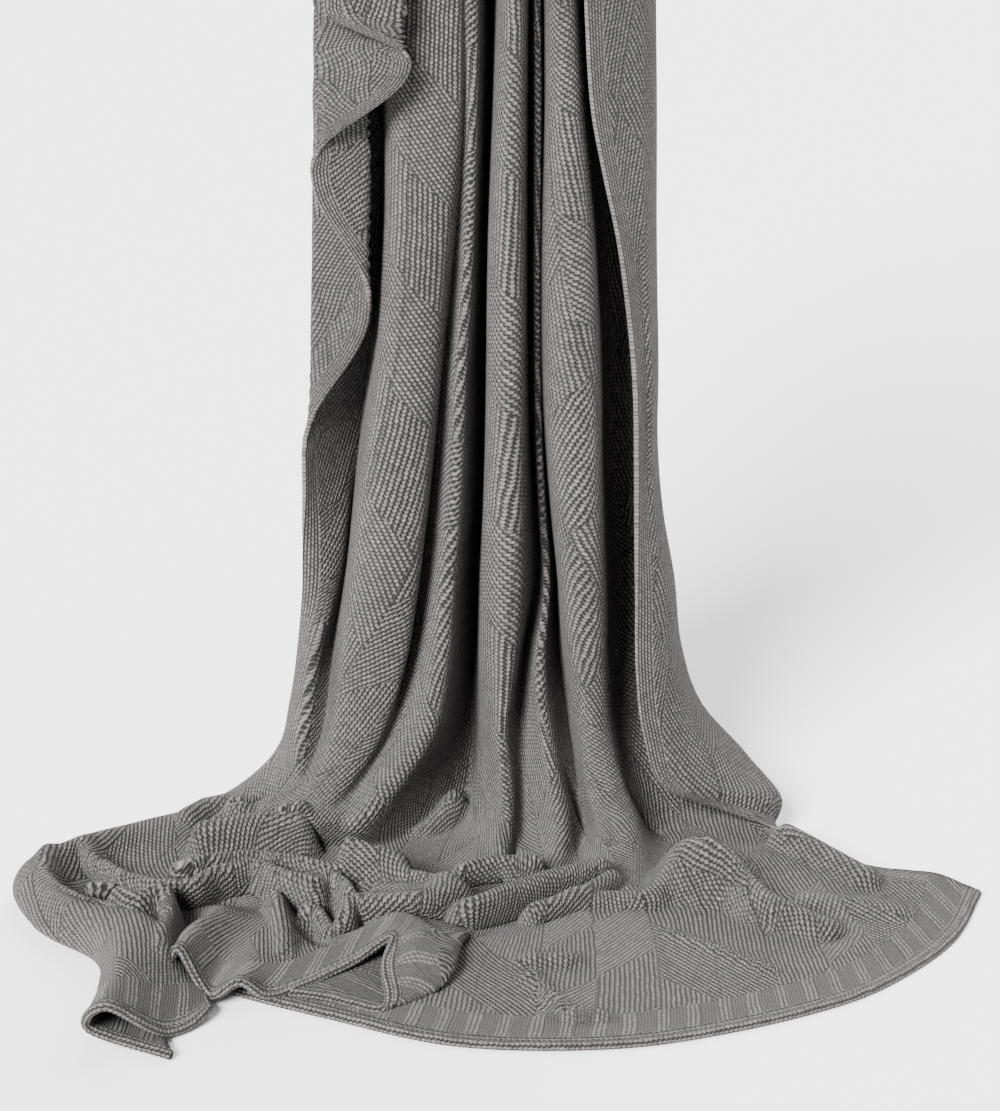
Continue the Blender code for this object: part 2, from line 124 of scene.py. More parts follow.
# %% [markdown]
# ## Folds of the column
# The same lines go on up the column, where only their place on the plan changes. Crests stand to the
# front and valleys lie up to a hand's width behind them, so the gaps between the folds get dark. The
# left part hangs as one layer low down, and has a table of its own.

# %% The hanging part
# Each fold line's place (x, y) at these heights
HANGING_HEIGHTS = (50, 90, 140, 200, 280, 370, 480, 600, 670)
HANGING = (
    ("left valley", (-162, -84), (-143, -48), (-137, 4), (-126, 20), (-117, 45), (-107, 50),
     (-96, 52), (-94, 55), (-93, 55)),
    ("broad fold left", (-148, -92), (-131, -68), (-124, -44), (-116, -38), (-107, -38), (-94, -36),
     (-84, -34), (-81, -32), (-81, -30)),
    ("broad fold right", (-132, -94), (-102, -72), (-82, -50), (-72, -45), (-64, -44), (-56, -42),
     (-47, -42), (-37, -40), (-37, -38)),
    ("crease one", (-114, -82), (-87, -52), (-77, -6), (-66, 6), (-55, 6), (-46, 2),
     (-35, -8), (-28, -26), (-28, -28)),
    ("slim fold", (-92, -106), (-58, -74), (-46, -50), (-40, -40), (-33, -34), (-29, -30),
     (-22, -26), (-17, -22), (-16, -20)),
    ("deep gap", (-28, 0), (-25, 30), (-21, 60), (-18, 80), (-13, 85), (-12, 88),
     (-9, 90), (-7, 90), (-7, 90)),
    ("middle fold left", (-14, -45), (-13, -28), (-13, -26), (-12, -26), (-9, -28), (-7, -30),
     (-6, -31), (-1, -32), (2, -31)),
    ("middle fold right", (5, -85), (2, -60), (8, -50), (14, -46), (15, -46), (15, -46),
     (15, -45), (16, -43), (17, -40)),
    ("crease two", (18, -50), (16, -15), (20, 10), (31, 38), (27, 52), (24, 58),
     (23, 58), (23, 58), (23, 58)),
    ("narrow fold", (45, -85), (37, -58), (33, -40), (38, -8), (33, -8), (30, -10),
     (29, -14), (29, -18), (28, -18)),
    ("crease three", (62, -45), (55, -5), (48, 30), (46, 50), (38, 58), (33, 58),
     (33, 54), (34, 50), (33, 50)),
    ("front fold left", (75, -92), (66, -62), (59, -48), (54, -45), (46, -40), (40, -38),
     (38, -38), (39, -37), (38, -36)),
    ("front fold right", (98, -88), (87, -60), (82, -52), (80, -50), (76, -48), (74, -46),
     (69, -45), (60, -40), (56, -38)),
    ("trough left", (108, -25), (99, 10), (93, 35), (92, 55), (87, 66), (85, 72),
     (79, 74), (72, 72), (69, 70)),
    ("trough right", (150, -5), (132, 25), (119, 48), (115, 64), (112, 70), (110, 74),
     (107, 78), (105, 80), (104, 80)),
    ("right fold", (202, -8), (165, 6), (147, 16), (140, 20), (127, 24), (125, 26),
     (122, 26), (120, 26), (118, 26)),
    ("flap outer", (192, -50), (157, -32), (140, -26), (134, -22), (122, -16), (120, -12),
     (114, -14), (110, -16), (109, -16)),
    ("flap inner", (165, -72), (139, -54), (127, -44), (122, -38), (115, -26), (113, -20),
     (105, -24), (90, -34), (86, -37)),
    ("right edge", (132, -74), (116, -62), (110, -52), (109, -46), (108, -38), (106, -34),
     (93, -38), (69, -51), (64, -52)),
)

# Low down the left part hangs as one layer: each of its lines' place (x, y) at these heights
LOW_HEIGHTS = (50, 90, 140, 200, 255, 310)
LOW_LEFT = (
    ("left edge", (-185, 0), (-173, 5), (-165, 4), (-160, -2), (-160, -8), (-157, -12)),
    ("rim outer", (-188, -18), (-172, -14), (-163, -4), (-153, -5), (-152, -8), (-149, -8)),
    ("rim top", (-186, -38), (-171, -32), (-160, -13), (-146, -5), (-143, -4), (-141, -2)),
    ("rim inner", (-180, -58), (-166, -50), (-156, -21), (-140, -3), (-134, 3), (-132, 6)),
    ("left back", (-170, -74), (-158, -62), (-150, -25), (-133, 5), (-125, 13), (-123, 15)),
)

# Sections are taken at these heights. Above the last one in the tables the folds run straight up
HEIGHTS = (50, 90, 140, 200, 255, 312, 375, 438, 492, 547, 590, 633, 652, 672, 780, 990, TOP_EDGE_HEIGHT)
print("fold lines in the column:", len(LOW_LEFT) + len(HANGING), "at", len(HEIGHTS), "heights")

# %% [markdown]
# ## The ruffled left edge
# Higher up the left edge swings from side to side, and each swing laps over the fold behind it. A
# table of every layer would be long and hard to read. It is enough to say where the edge turns, and
# where each lap's fold stands, because the cloth between them hangs straight.

# %% The left edge's laps
# Swing, height, x, y of the edge where it turns
SWINGS = (
    ("out of the top lap", 672, -130, -66),
    ("over the broad fold", 633, -66, -70),
    ("back to the outside", 547, -144, -46),
    ("into the valley", 438, -101, -32),
    ("back to the outside again", 312, -157, -12),
)
# Each lap's fold turns back at this place (x, y) at the top edge, and at the second one lower down,
# where the edge swings past it
LAP_FOLDS = (
    ("front lap", (-72, -66), (-66, -70)),
    ("outer lap", (-131, -44), (-144, -46)),
    ("inner lap", (-93, -25), (-101, -32)),
    ("back lap", (-134, -5), (-157, -12)),
)
# The length over which a lap is rounded, the places taken along its section, and the two heights
# between which the laps take over
LAP_ROUNDING = 7.0
LAP_SAMPLES = 400
LAPS_START = (215.0, 300.0)
print("laps of the left edge:", len(LAP_FOLDS))

# %% [markdown]
# ## Rolls on the pooled cloth
# Cloth that is let down on a floor buckles into soft rolls that run across its length. Each one is
# described by its crest: a line on the plan, a height at both ends, a half width, and how far the
# crest leans to the front. A few creases are pressed in afterwards.

# %% Rolls and creases
# Height at the first and at the last point, half width, lean, and the crest's points (x, y)
ROLLS = (
    ("tail of the slim fold", 32, 13, 18, 4, ((-38, -44), (-48, -62), (-57, -70), (-64, -74))),
    ("sweep of the slim fold", 44, 38, 18, 0, ((-160, -106), (-191, -110), (-236, -119))),
    ("lobe at the back", 32, 30, 17, 4, ((-208, -74), (-224, -62), (-240, -64), (-252, -79))),
    ("first rope", 26, 40, 15, 19, ((-328, -154), (-308, -171), (-289, -195), (-262, -213), (-235, -215),
                                    (-221, -196), (-192, -184), (-178, -195), (-160, -214), (-140, -225))),
    ("turned end of the first rope", 41, 26, 12, 12, ((-130, -212), (-118, -222), (-113, -242),
                                                      (-117, -258))),
    ("second rope", 32, 36, 15, 18, ((-249, -183), (-233, -173), (-215, -165), (-188, -163), (-155, -175),
                                     (-123, -193), (-92, -197), (-61, -207), (-42, -219))),
    ("low rope in front of it", 28, 28, 10, 9, ((-106, -208), (-77, -213), (-49, -216))),
    ("peak behind the second rope", 50, 40, 16, 10, ((-116, -174), (-96, -183), (-77, -185))),
    ("short roll", 32, 38, 24, 24, ((-104, -240), (-81, -243), (-57, -242), (-34, -228))),
    ("thick front roll", 34, 38, 20, 25, ((-26, -255), (-12, -245), (7, -230), (34, -210), (59, -198),
                                          (77, -188))),
    ("nose of the front roll", 24, 28, 15, 12, ((27, -238), (61, -219), (86, -190))),
    ("small roll", 26, 30, 12, 13, ((-30, -172), (-2, -162), (27, -166))),
    ("bowl rim", 32, 25, 14, 8, ((-355, -160), (-351, -197), (-337, -221), (-318, -234), (-299, -239))),
    ("curl in the bowl", 24, 22, 8, 6, ((-315, -200), (-304, -201), (-297, -198))),
    ("top of the tube", 41, 40, 15, 8, ((-287, -246), (-273, -255), (-258, -238))),
    ("right side of the tube", 38, 34, 12, 6, ((-252, -240), (-248, -259), (-246, -302), (-245, -341))),
    ("panel ridge", 26, 18, 14, 5, ((-171, -221), (-162, -272), (-158, -306))),
    ("small panel ridge", 22, 12, 10, 5, ((-146, -232), (-138, -235), (-131, -250), (-128, -258))),
    ("cuff", 27, 16, 22, 0, ((-60, -302), (-64, -340))),
    ("right mound", 55, 50, 42, 16, ((150, -190), (168, -198))),
    ("ridge to the right of the mound", 50, 20, 22, 10, ((160, -196), (185, -215), (201, -238),
                                                         (243, -257))),
    ("ridge to the left of the mound", 44, 18, 18, 8, ((153, -205), (131, -200), (110, -212))),
    ("front hump", 20, 20, 17, 6, ((57, -217), (84, -212), (116, -214))),
    ("far right ridge", 30, 22, 20, 4, ((229, -108), (260, -144), (284, -171))),
    ("slanting front ridge", 12, 9, 11, 3, ((128, -262), (163, -285), (199, -314))),
    ("front pucker", 13, 12, 10, 3, ((22, -325), (37, -363), (47, -385), (72, -386))),
    ("front bump", 15, 15, 15, 2, ((20, -305), (52, -305))),
    ("far right swell", 15, 13, 26, 3, ((238, -206), (300, -216))),
)
# Creases pressed into it, fading out at this height: depth, half width and the crease's points (x, y)
CREASES_END = 95.0
CREASES = (
    ("pocket", 7, 10, ((-148, -253), (-126, -281))),
    ("crease in the front fold", 12, 9, ((52, -60), (71, -77), (79, -99), (91, -128))),
    ("crease of the bell", 8, 9, ((-15, -66), (0, -71), (10, -120))),
    ("dark crease", 12, 9, ((94, -60), (108, -70), (123, -78))),
    ("behind the long roll", 10, 14, ((-112, -134), (-92, -132))),
)
print("rolls:", len(ROLLS), "and creases:", len(CREASES))

# %% [markdown]
# ## Smooth curves
# Knit cloth bends in soft curves, so straight runs between the table's points would look like folded
# paper. A cubic curve passes through every point, and there it runs as the line between the point's
# neighbours does.

# %% A curve through the points


def smooth_curve(knots, values, at):
    """Cubic curve through the values, which leaves each knot along the line that joins its neighbours."""
    knots = np.asarray(knots, float)
    values = np.asarray(values, float)
    slopes = np.gradient(values, knots, axis=0, edge_order=1)
    index = np.clip(np.searchsorted(knots, at, side="right") - 1, 0, len(knots) - 2)
    span = knots[index + 1] - knots[index]
    part = (at - knots[index]) / span
    shape = (-1,) + (1,) * (values.ndim - 1)
    span, part = span.reshape(shape), part.reshape(shape)
    first, second = values[index], values[index + 1]
    keep = part * part * (3 - 2 * part)
    leave = part * (1 - part) ** 2
    arrive = part * part * (part - 1)
    return first + (second - first) * keep + span * (slopes[index] * leave + slopes[index + 1] * arrive)


print("a quarter of the way from 0 to 2:", smooth_curve([0, 1, 2], [0.0, 1.0, 2.0], np.array([0.5]))[0])

# %% [markdown]
# ## The net of folds
# The tables are joined into one net: sections from the hem up to the top edge, each with the same
# fold lines in the same order. Above the last height in the tables the folds run straight up.

# %% Join the tables


def at_heights(known, table, heights):
    """Each fold line's plan place at the given heights, as heights by fold lines by (x, y)."""
    inside = np.clip(heights, known[0], known[-1])
    lines = [smooth_curve(known, np.array(row[1:], float), inside) for row in table]
    return np.stack(lines, axis=1)


def hanging_sections():
    """The net's sections above the floor, as heights by fold lines by (x, y, z)."""
    heights = np.array(HEIGHTS, float)
    plan = [at_heights(LOW_HEIGHTS, LOW_LEFT, heights), at_heights(HANGING_HEIGHTS, HANGING, heights)]
    plan = np.concatenate(plan, axis=1)
    rise = np.broadcast_to(heights[:, None, None], plan.shape[:2] + (1,))
    return np.concatenate([plan, rise], axis=2)


def net_of_folds():
    """All sections from the hem to the top edge, as sections by fold lines by (x, y, z)."""
    pooled = np.array([row[1:] for row in POOLED], float).transpose(1, 0, 2)
    return np.concatenate([pooled, hanging_sections()])


print("net of folds:", net_of_folds().shape[0], "sections of", net_of_folds().shape[1], "fold lines")

# %% [markdown]
# ## Laps of the left edge
# At each height the left part's section is a zigzag: from the swinging edge, round each lap fold
# above its turn, to the first valley. The zigzag is rounded by taking the mean of near places twice,
# which keeps its ends where they are.

# %% Section of the laps


def edge_swing(height):
    """Place (x, y) of the left edge: an easy wave from turn to turn, and straight above the highest."""
    turns = np.array([row[1:] for row in SWINGS], float)[::-1]
    height = np.clip(height, turns[0, 0], turns[-1, 0])
    index = min(int(np.searchsorted(turns[:, 0], height, side="right")) - 1, len(turns) - 2)
    part = (height - turns[index, 0]) / (turns[index + 1, 0] - turns[index, 0])
    part = (1 - np.cos(np.pi * part)) / 2
    return turns[index, 1:] + part * (turns[index + 1, 1:] - turns[index, 1:])


def along_path(points, count):
    """So many places, evenly spaced, along the line through the points (x, y)."""
    steps = np.linalg.norm(np.diff(points, axis=0), axis=1)
    reach = np.concatenate([[0], np.cumsum(steps)])
    places = np.linspace(0, reach[-1], count)
    return np.stack([np.interp(places, reach, points[:, axis]) for axis in range(2)], axis=1)


def lapped_section(height, valley, count):
    """The left part's section: from the edge, round each lap fold above its turn, to the valley."""
    corners = [edge_swing(height)]
    for (_, at_top, at_turn), (_, turn, _, _) in zip(LAP_FOLDS, SWINGS[1:]):
        if height > turn:
            part = (height - turn) / (TOP_EDGE_HEIGHT - turn)
            corners.append(np.array(at_turn) + part ** 0.5 * np.subtract(at_top, at_turn))
    path = along_path(np.array(corners + [valley]), LAP_SAMPLES)
    reach = max(1, round(LAP_ROUNDING / np.linalg.norm(path[1] - path[0]) / 2))
    kernel = np.ones(2 * reach + 1) / (2 * reach + 1)
    for _ in range(2):
        ends = (2 * path[:1] - path[reach:0:-1], path, 2 * path[-1:] - path[-2:-reach - 2:-1])
        padded = np.concatenate(ends)
        path = np.stack([np.convolve(padded[:, axis], kernel, mode="valid") for axis in range(2)], axis=1)
    return along_path(path, count)


print("left edge at 600 mm:", edge_swing(600).round(1))

# %% [markdown]
# ## The laps fade in
# Low down the left part follows the fold lines, and higher up the laps take over. Between two
# heights one gives way to the other with a soft step, so that no line shows where they meet.

# %% Put the laps in


def lap_left_part(grid, columns):
    """Puts the swinging edge and its laps into the left columns of each hanging row, fading in upwards."""
    low, high = LAPS_START
    for row in grid:
        height = row[columns - 1, 2]
        if height > low:
            share = min((height - low) / (high - low), 1.0)
            share = share * share * (3 - 2 * share)
            lapped = lapped_section(height, row[columns - 1, :2], columns)
            row[:columns, :2] += share * (lapped - row[:columns, :2])
    return grid


print("laps start between", LAPS_START[0], "and", LAPS_START[1], "mm")

# %% [markdown]
# ## Raise the rolls
# A roll is as high as its rounded ridge where that is higher than the cloth. Taking the higher of the
# two would leave a hard line, so both heights are added as fourth powers and the root is taken, which
# comes to nearly the same but blends them. The crest then leans to the front, as a slumped roll does.

# %% Rolls as ridges
ROLL_FULLNESS = 1.3
BLEND_POWER = 4


def beside_line(plan, points):
    """Each plan point's distance to a line, and the share of the line before its nearest place."""
    points = np.array(points, float)
    runs = np.diff(points, axis=0)
    lengths = np.hypot(runs[:, 0], runs[:, 1])
    before = np.concatenate([[0], np.cumsum(lengths)])
    nearest = np.full(plan.shape[:-1], np.inf)
    share = np.zeros(plan.shape[:-1])
    for start, run, length, done in zip(points[:-1], runs, lengths, before):
        part = np.clip(((plan - start) @ run) / length ** 2, 0, 1)
        away = np.linalg.norm(plan - start - part[..., None] * run, axis=-1)
        share = np.where(away < nearest, (done + part * length) / before[-1], share)
        nearest = np.minimum(nearest, away)
    return nearest, share


def rounded(away, half_width):
    """A ridge's shape across: 1 on its crest and 0 from its half width on."""
    return (1 - np.clip(away / half_width, 0, 1) ** 2) ** ROLL_FULLNESS


def raise_rolls(surface):
    """Raises each roll's rounded crest where it is higher than the cloth, and leans it to the front."""
    plan = surface[..., :2].copy()
    total = surface[..., 2] ** BLEND_POWER
    forward = np.zeros(total.shape)
    for _, first_height, last_height, half_width, lean, points in ROLLS:
        away, share = beside_line(plan - (0, lean), points)
        ridge = rounded(away, half_width)
        part = ((first_height + share * (last_height - first_height)) * ridge) ** BLEND_POWER
        total += part
        forward += part * lean * ridge
    surface[..., 1] -= forward / total
    surface[..., 2] = total ** (1 / BLEND_POWER)
    low = np.clip(1 - surface[..., 2] / CREASES_END, 0, 1)
    for _, depth, half_width, points in CREASES:
        surface[..., 2] -= low * depth * rounded(beside_line(plan, points)[0], half_width)
    return surface


print("highest roll:", max(max(row[1:3]) for row in ROLLS), "mm")

# %% [markdown]
# ## The cloth's surface
# Smooth curves through the net, first across and then along it, give a fine grid of points. The
# pooled part has most of the rows, because its rolls turn in a few centimetres, while the hanging
# folds run straight.

# %% Compute the surface
STEPS_ACROSS = 10
STEPS_POOLED = 14
STEPS_HANGING = 5


def stepped(knots, steps):
    """Places from the first knot to the last, with so many even steps in each interval."""
    places = [np.linspace(a, b, count, endpoint=False) for a, b, count in zip(knots[:-1], knots[1:], steps)]
    return np.append(np.concatenate(places), knots[-1])


def cloth_surface(steps_across, steps_pooled, steps_hanging):
    """Middle of the cloth as a grid: rows from the hem up, columns from the left edge to the right edge."""
    net = net_of_folds()
    lines = np.arange(net.shape[1], dtype=float)
    across = stepped(lines, [steps_across] * (len(lines) - 1))
    grid = smooth_curve(lines, net.transpose(1, 0, 2), across).transpose(1, 0, 2)
    gaps = np.linalg.norm(np.diff(net, axis=0), axis=2).mean(axis=1)
    reach = np.concatenate([[0], np.cumsum(gaps)])
    pooled = len(POOLED[0]) - 1
    steps_along = [steps_pooled] * pooled + [steps_hanging] * (len(gaps) - pooled)
    grid = smooth_curve(reach, grid, stepped(reach, steps_along))
    grid = lap_left_part(grid, len(LOW_LEFT) * steps_across + 1)
    grid = raise_rolls(grid)
    grid[..., 2] = np.maximum(grid[..., 2], LEAST_CLEARANCE)
    return grid


grid_mm = cloth_surface(STEPS_ACROSS, STEPS_POOLED, STEPS_HANGING)
grid = (grid_mm - (*TOP_EDGE_MIDDLE, TOP_EDGE_HEIGHT)) * MM
print("surface grid:", grid.shape[0], "rows by", grid.shape[1], "columns")

# %% [markdown]
# ## Flat coordinates
# Stitches are all one size, however the cloth is folded, so each point needs its place on the flat
# blanket. A picture wrapped straight onto the grid would stretch where a roll makes the rows spread.
# The cloth is taken as small stiff triangles instead, like card hinged at its edges. First each
# grid cell's two triangles are measured on the folded cloth, and drawn flat. From here on sizes are
# in metres, unless a thickness is named in millimetres.

# %% Measure the triangles


def travel(points, axis):
    """Length of the surface from the first point of each line along an axis, point by point."""
    steps = np.linalg.norm(np.diff(points, axis=axis), axis=2)
    first = np.zeros_like(steps.take([0], axis=axis))
    return np.cumsum(np.concatenate([first, steps], axis=axis), axis=axis)


def arc_between(points, axis, every):
    """Length of the surface from each kept point to the next one along an axis."""
    steps = np.linalg.norm(np.diff(points, axis=axis), axis=2)
    starts = np.arange(0, steps.shape[axis], every)
    return np.add.reduceat(steps, starts, axis=axis)


def angle_at(corner, first, second):
    """Angle at a corner point between the ways to two other points."""
    a, b = first - corner, second - corner
    return np.arctan2(np.linalg.norm(np.cross(a, b), axis=-1), (a * b).sum(axis=-1))


def stiff_triangles(points, across, along):
    """Each cell's two triangles: their corners' grid places, and the two sides from the first, laid flat."""
    low, high = slice(None, -1), slice(1, None)
    near, right, left, far = (low, low), (low, high), (high, low), (high, high)
    turn = angle_at(points[near], points[right], points[left])
    side = np.stack([across[low], 0 * turn], axis=-1)
    other = along[:, low, None] * np.stack([np.cos(turn), np.sin(turn)], axis=-1)
    first = ((near, right, left), side, other)
    turn = angle_at(points[far], points[left], points[right])
    side = -np.stack([across[high], 0 * turn], axis=-1)
    other = -along[:, high, None] * np.stack([np.cos(turn), np.sin(turn)], axis=-1)
    return [first, ((far, left, right), side, other)]


print("side edges, left and right:", travel(grid, 0)[-1, (0, -1)].round(3), "m")

# %% [markdown]
# ## Fit the triangles together
# Each triangle is turned to fit the layout as it stands, then every point moves to the mean of the
# places that its triangles want. Many rounds bring the layout to rest. Carrying on part of each move,
# as a sledge does, gets there in far fewer rounds.

# %% Turn and fit
CARRY_ON = 0.9


def turned(vectors, angle):
    """Flat vectors turned by an angle each."""
    cosine, sine = np.cos(angle), np.sin(angle)
    x, y = vectors[..., 0], vectors[..., 1]
    return np.stack([x * cosine - y * sine, x * sine + y * cosine], axis=-1)


def fitting_turn(wanted, found):
    """The angle that turns the wanted sides of each triangle nearest to the found ones."""
    dot = sum((a * b).sum(axis=-1) for a, b in zip(wanted, found))
    cross = sum(a[..., 0] * b[..., 1] - a[..., 1] * b[..., 0] for a, b in zip(wanted, found))
    return np.arctan2(cross, dot)


def lay_flat(flat, triangles, rounds):
    """Moves every point to the mean of the places that its triangles want, in many rounds."""
    before = flat
    for _ in range(rounds):
        total = np.zeros_like(flat)
        count = np.zeros(flat.shape[:2] + (1,))
        for (corner, one, two), side, other in triangles:
            p, q, r = flat[corner], flat[one], flat[two]
            turn = fitting_turn((side, other, other - side), (q - p, r - p, r - q))
            a, b = turned(side, turn), turned(other, turn)
            total[corner] += q - a + r - b
            total[one] += p + a + r - b + a
            total[two] += p + b + q + b - a
            for place in (corner, one, two):
                count[place] += 2
        flat, before = total / count + CARRY_ON * (flat - before), flat
    return flat


print("a quarter turn of (1, 0):", turned(np.array([1.0, 0.0]), math.pi / 2).round(3))

# %% [markdown]
# ## The layout of the whole cloth
# Every third row and column is enough to lay the cloth flat. The points between them are placed by
# their share of the surface's length, on smooth curves. Distances from the hem, from the top and
# from the sides are kept as well, because the borders follow the edges.

# %% Lay the cloth out flat
LAYOUT_EVERY = 3
LAYOUT_ROUNDS = 2500


def flat_places(points, every):
    """Place (across, along) of every grid point on the flat cloth, in metres."""
    rows, columns = points.shape[:2]
    kept_rows = np.append(np.arange(0, rows - 1, every), rows - 1)
    kept_columns = np.append(np.arange(0, columns - 1, every), columns - 1)
    sub = points[np.ix_(kept_rows, kept_columns)]
    across = arc_between(points[kept_rows], 1, every)
    along = arc_between(points[:, kept_columns], 0, every)
    start = np.zeros(sub.shape[:2] + (2,))
    start[:, 1:, 0] = np.cumsum(across, axis=1)
    start[1:, :, 1] = np.cumsum(along, axis=0)
    start[..., 0] -= start[..., 0].mean(axis=1, keepdims=True)
    flat = lay_flat(start, stiff_triangles(sub, across, along), LAYOUT_ROUNDS)
    travel_across, travel_along = travel(points, 1), travel(points, 0)
    flat = np.stack([smooth_curve(travel_across[row, kept_columns], flat[place], travel_across[row])
                     for place, row in enumerate(kept_rows)])
    return np.stack([smooth_curve(travel_along[kept_rows, column], flat[:, column], travel_along[:, column])
                     for column in range(columns)], axis=1)


flat = flat_places(grid, LAYOUT_EVERY)
from_hem = travel(grid, 0)
from_top = from_hem[-1] - from_hem
from_left = travel(grid, 1)
from_side = np.minimum(from_left, from_left[:, -1:] - from_left)
print("laid flat:", np.ptp(flat[..., 0]).round(2), "by", np.ptp(flat[..., 1]).round(2), "m")
print("hem:", from_left[0, -1].round(3), "m long")

# %% [markdown]
# ## The cloth as a mesh
# The grid becomes an open mesh, with its flat places as a UV map. It could be built with two sides
# at once, but Solidify does that from one surface: it gives the yarn's thickness evenly to both
# sides and closes the rim. The cast-on edge is a double row, so it is thicker there.

# %% Build the blanket
# The cast-on edge's thickness in millimetres, and its width. The extra thickness is full up to half
# that width from the hem, and has gone at one and a half widths
EDGE_THICKNESS = 5.6
CAST_ON_WIDTH = 0.009
EDGE_FADE = 1.5


def cloth_mesh(name, points, places):
    """Four-sided faces on a grid of points, facing the front, with the flat places as UV."""
    count = points.shape[0] * points.shape[1]
    index = np.arange(count).reshape(points.shape[:2])
    faces = np.stack([index[:-1, :-1], index[:-1, 1:], index[1:, 1:], index[1:, :-1]], axis=-1)
    mesh = bpy.data.meshes.new(name)
    mesh.from_pydata(points.reshape(-1, 3).tolist(), [], faces.reshape(-1, 4).tolist())
    mesh.polygons.foreach_set("use_smooth", np.ones(len(mesh.polygons), bool))
    layer = mesh.uv_layers.new(name="flat place")
    layer.data.foreach_set("uv", places.reshape(-1, 2)[faces.reshape(-1)].astype(np.float32).ravel())
    return mesh


def store(mesh, name, values):
    """Keeps one number for each point of the mesh, for the material to read."""
    kept = mesh.attributes.new(name, "FLOAT", "POINT")
    kept.data.foreach_set("value", values.astype(np.float32).ravel())


def give_thickness(obj):
    """The yarn's thickness on both sides, in full along the cast-on edge and as a share of it elsewhere."""
    thick = obj.vertex_groups.new(name="thickness")
    edge_share = np.clip(EDGE_FADE - from_hem / CAST_ON_WIDTH, 0, 1)
    share = (CLOTH_THICKNESS + (EDGE_THICKNESS - CLOTH_THICKNESS) * edge_share) / EDGE_THICKNESS
    share = share.round(2).ravel()
    for level in np.unique(share):
        thick.add(np.flatnonzero(share == level).tolist(), float(level), "REPLACE")
    solid = obj.modifiers.new("yarn thickness", "SOLIDIFY")
    solid.thickness = EDGE_THICKNESS * MM
    solid.offset = 0.0
    solid.vertex_group = thick.name
    solid.material_offset = 1


blanket = bpy.data.objects.new("knit_blanket", cloth_mesh("knit_blanket", grid, flat))
bpy.context.scene.collection.objects.link(blanket)
store(blanket.data, "from_hem", from_hem)
store(blanket.data, "from_top", from_top)
store(blanket.data, "from_side", from_side)
give_thickness(blanket)
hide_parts("blanket")
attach(blanket, "root")
print("blanket faces:", len(blanket.data.polygons))

# %% [markdown]
# ## The cast-on edge
# The hem starts on a plaited double row of loops, a little thicker than the cloth, which shows as a
# cord with rows of dark holes. Bump alone would leave its outline flat, so it is a real tube that
# follows the hem line and is drawn in at each loop. The plait itself is left to the material.

# %% Build the edge cord
# A loop's length along the hem, and the cord's size between two loops as a share of its full size
LOOP = 0.0040
LOOP_NECK = 0.86
# One rope of stitches is this wide on the flat cloth, and covers two of the cord's sides
EDGE_ROPE = 0.0043
CORD_WIDTH, CORD_HEIGHT = 0.0042, 0.0036
CORD_SIDES = 12
STEPS_IN_LOOP = 4
# The cord's least height over the floor
LEAST_HEIGHT = 0.0003


def edge_cord(line, inward):
    """Points of the tube and their flat places: an oval round each place on the line, wide along inward."""
    reach = travel(line[None], 1)[0]
    count = int(reach[-1] / LOOP) * STEPS_IN_LOOP
    at = np.linspace(0, reach[-1], count + 1)
    middle = smooth_curve(reach, line, at)
    side = smooth_curve(reach, inward, at)
    ahead = np.gradient(middle, at, axis=0)
    ahead /= np.linalg.norm(ahead, axis=1, keepdims=True)
    up = np.cross(ahead, side)
    up /= np.linalg.norm(up, axis=1, keepdims=True)
    side = np.cross(up, ahead)
    turn = np.linspace(0, 2 * math.pi, CORD_SIDES + 1)[None, :, None]
    size = LOOP_NECK + (1 - LOOP_NECK) * np.abs(np.sin(math.pi * at / LOOP))[:, None, None]
    oval = CORD_WIDTH * np.cos(turn) * side[:, None] + CORD_HEIGHT * np.sin(turn) * up[:, None]
    points = middle[:, None] + size * oval
    points[..., 2] = np.maximum(points[..., 2], LEAST_HEIGHT - TOP_EDGE_HEIGHT * MM)
    round_it = CORD_SIDES * EDGE_ROPE * turn[..., 0] / (2 * math.pi) / 2
    return points, np.stack(np.broadcast_arrays(at[:, None], round_it), axis=-1)


into_cloth = grid[1] - grid[0]
into_cloth /= np.linalg.norm(into_cloth, axis=1, keepdims=True)
cord_points, cord_places = edge_cord(grid[0], into_cloth)
cord = bpy.data.objects.new("cast_on_edge", cloth_mesh("cast_on_edge", cord_points, cord_places))
bpy.context.scene.collection.objects.link(cord)
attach(cord, "root")
print("edge cord faces:", len(cord.data.polygons))

# %% [markdown]
# ## Node helpers
# The knit has well over a hundred thousand stitches. They could be modelled, but they are finer than
# the mesh, so they are drawn by arithmetic on the flat coordinates. These helpers add one sum or one
# soft step at a time, so that each group below reads like the formula that it is.

# %% Helpers for sums and steps


def put(tree, socket, value):
    """Sets a socket to a number, or links it to another node's output."""
    if isinstance(value, (int, float)):
        socket.default_value = value
    else:
        tree.links.new(value, socket)


def calc(tree, operation, *values, clamp=False):
    """One Math node, with its result."""
    node = tree.nodes.new("ShaderNodeMath")
    node.operation = operation
    node.use_clamp = clamp
    for socket, value in zip(node.inputs, values):
        put(tree, socket, value)
    return node.outputs[0]


def times(tree, first, second):
    """The product of two values."""
    return calc(tree, "MULTIPLY", first, second)


def scaled(tree, value, factor, offset, clamp=False):
    """A value times a factor, plus an offset."""
    return calc(tree, "MULTIPLY_ADD", value, factor, offset, clamp=clamp)


def ramp(tree, value, low, high, to_low=0.0, to_high=1.0):
    """A soft step: to_low up to the value low, and to_high from the value high."""
    node = tree.nodes.new("ShaderNodeMapRange")
    node.interpolation_type = "SMOOTHSTEP"
    for socket, number in zip(node.inputs, (value, low, high, to_low, to_high)):
        put(tree, socket, number)
    return node.outputs[0]


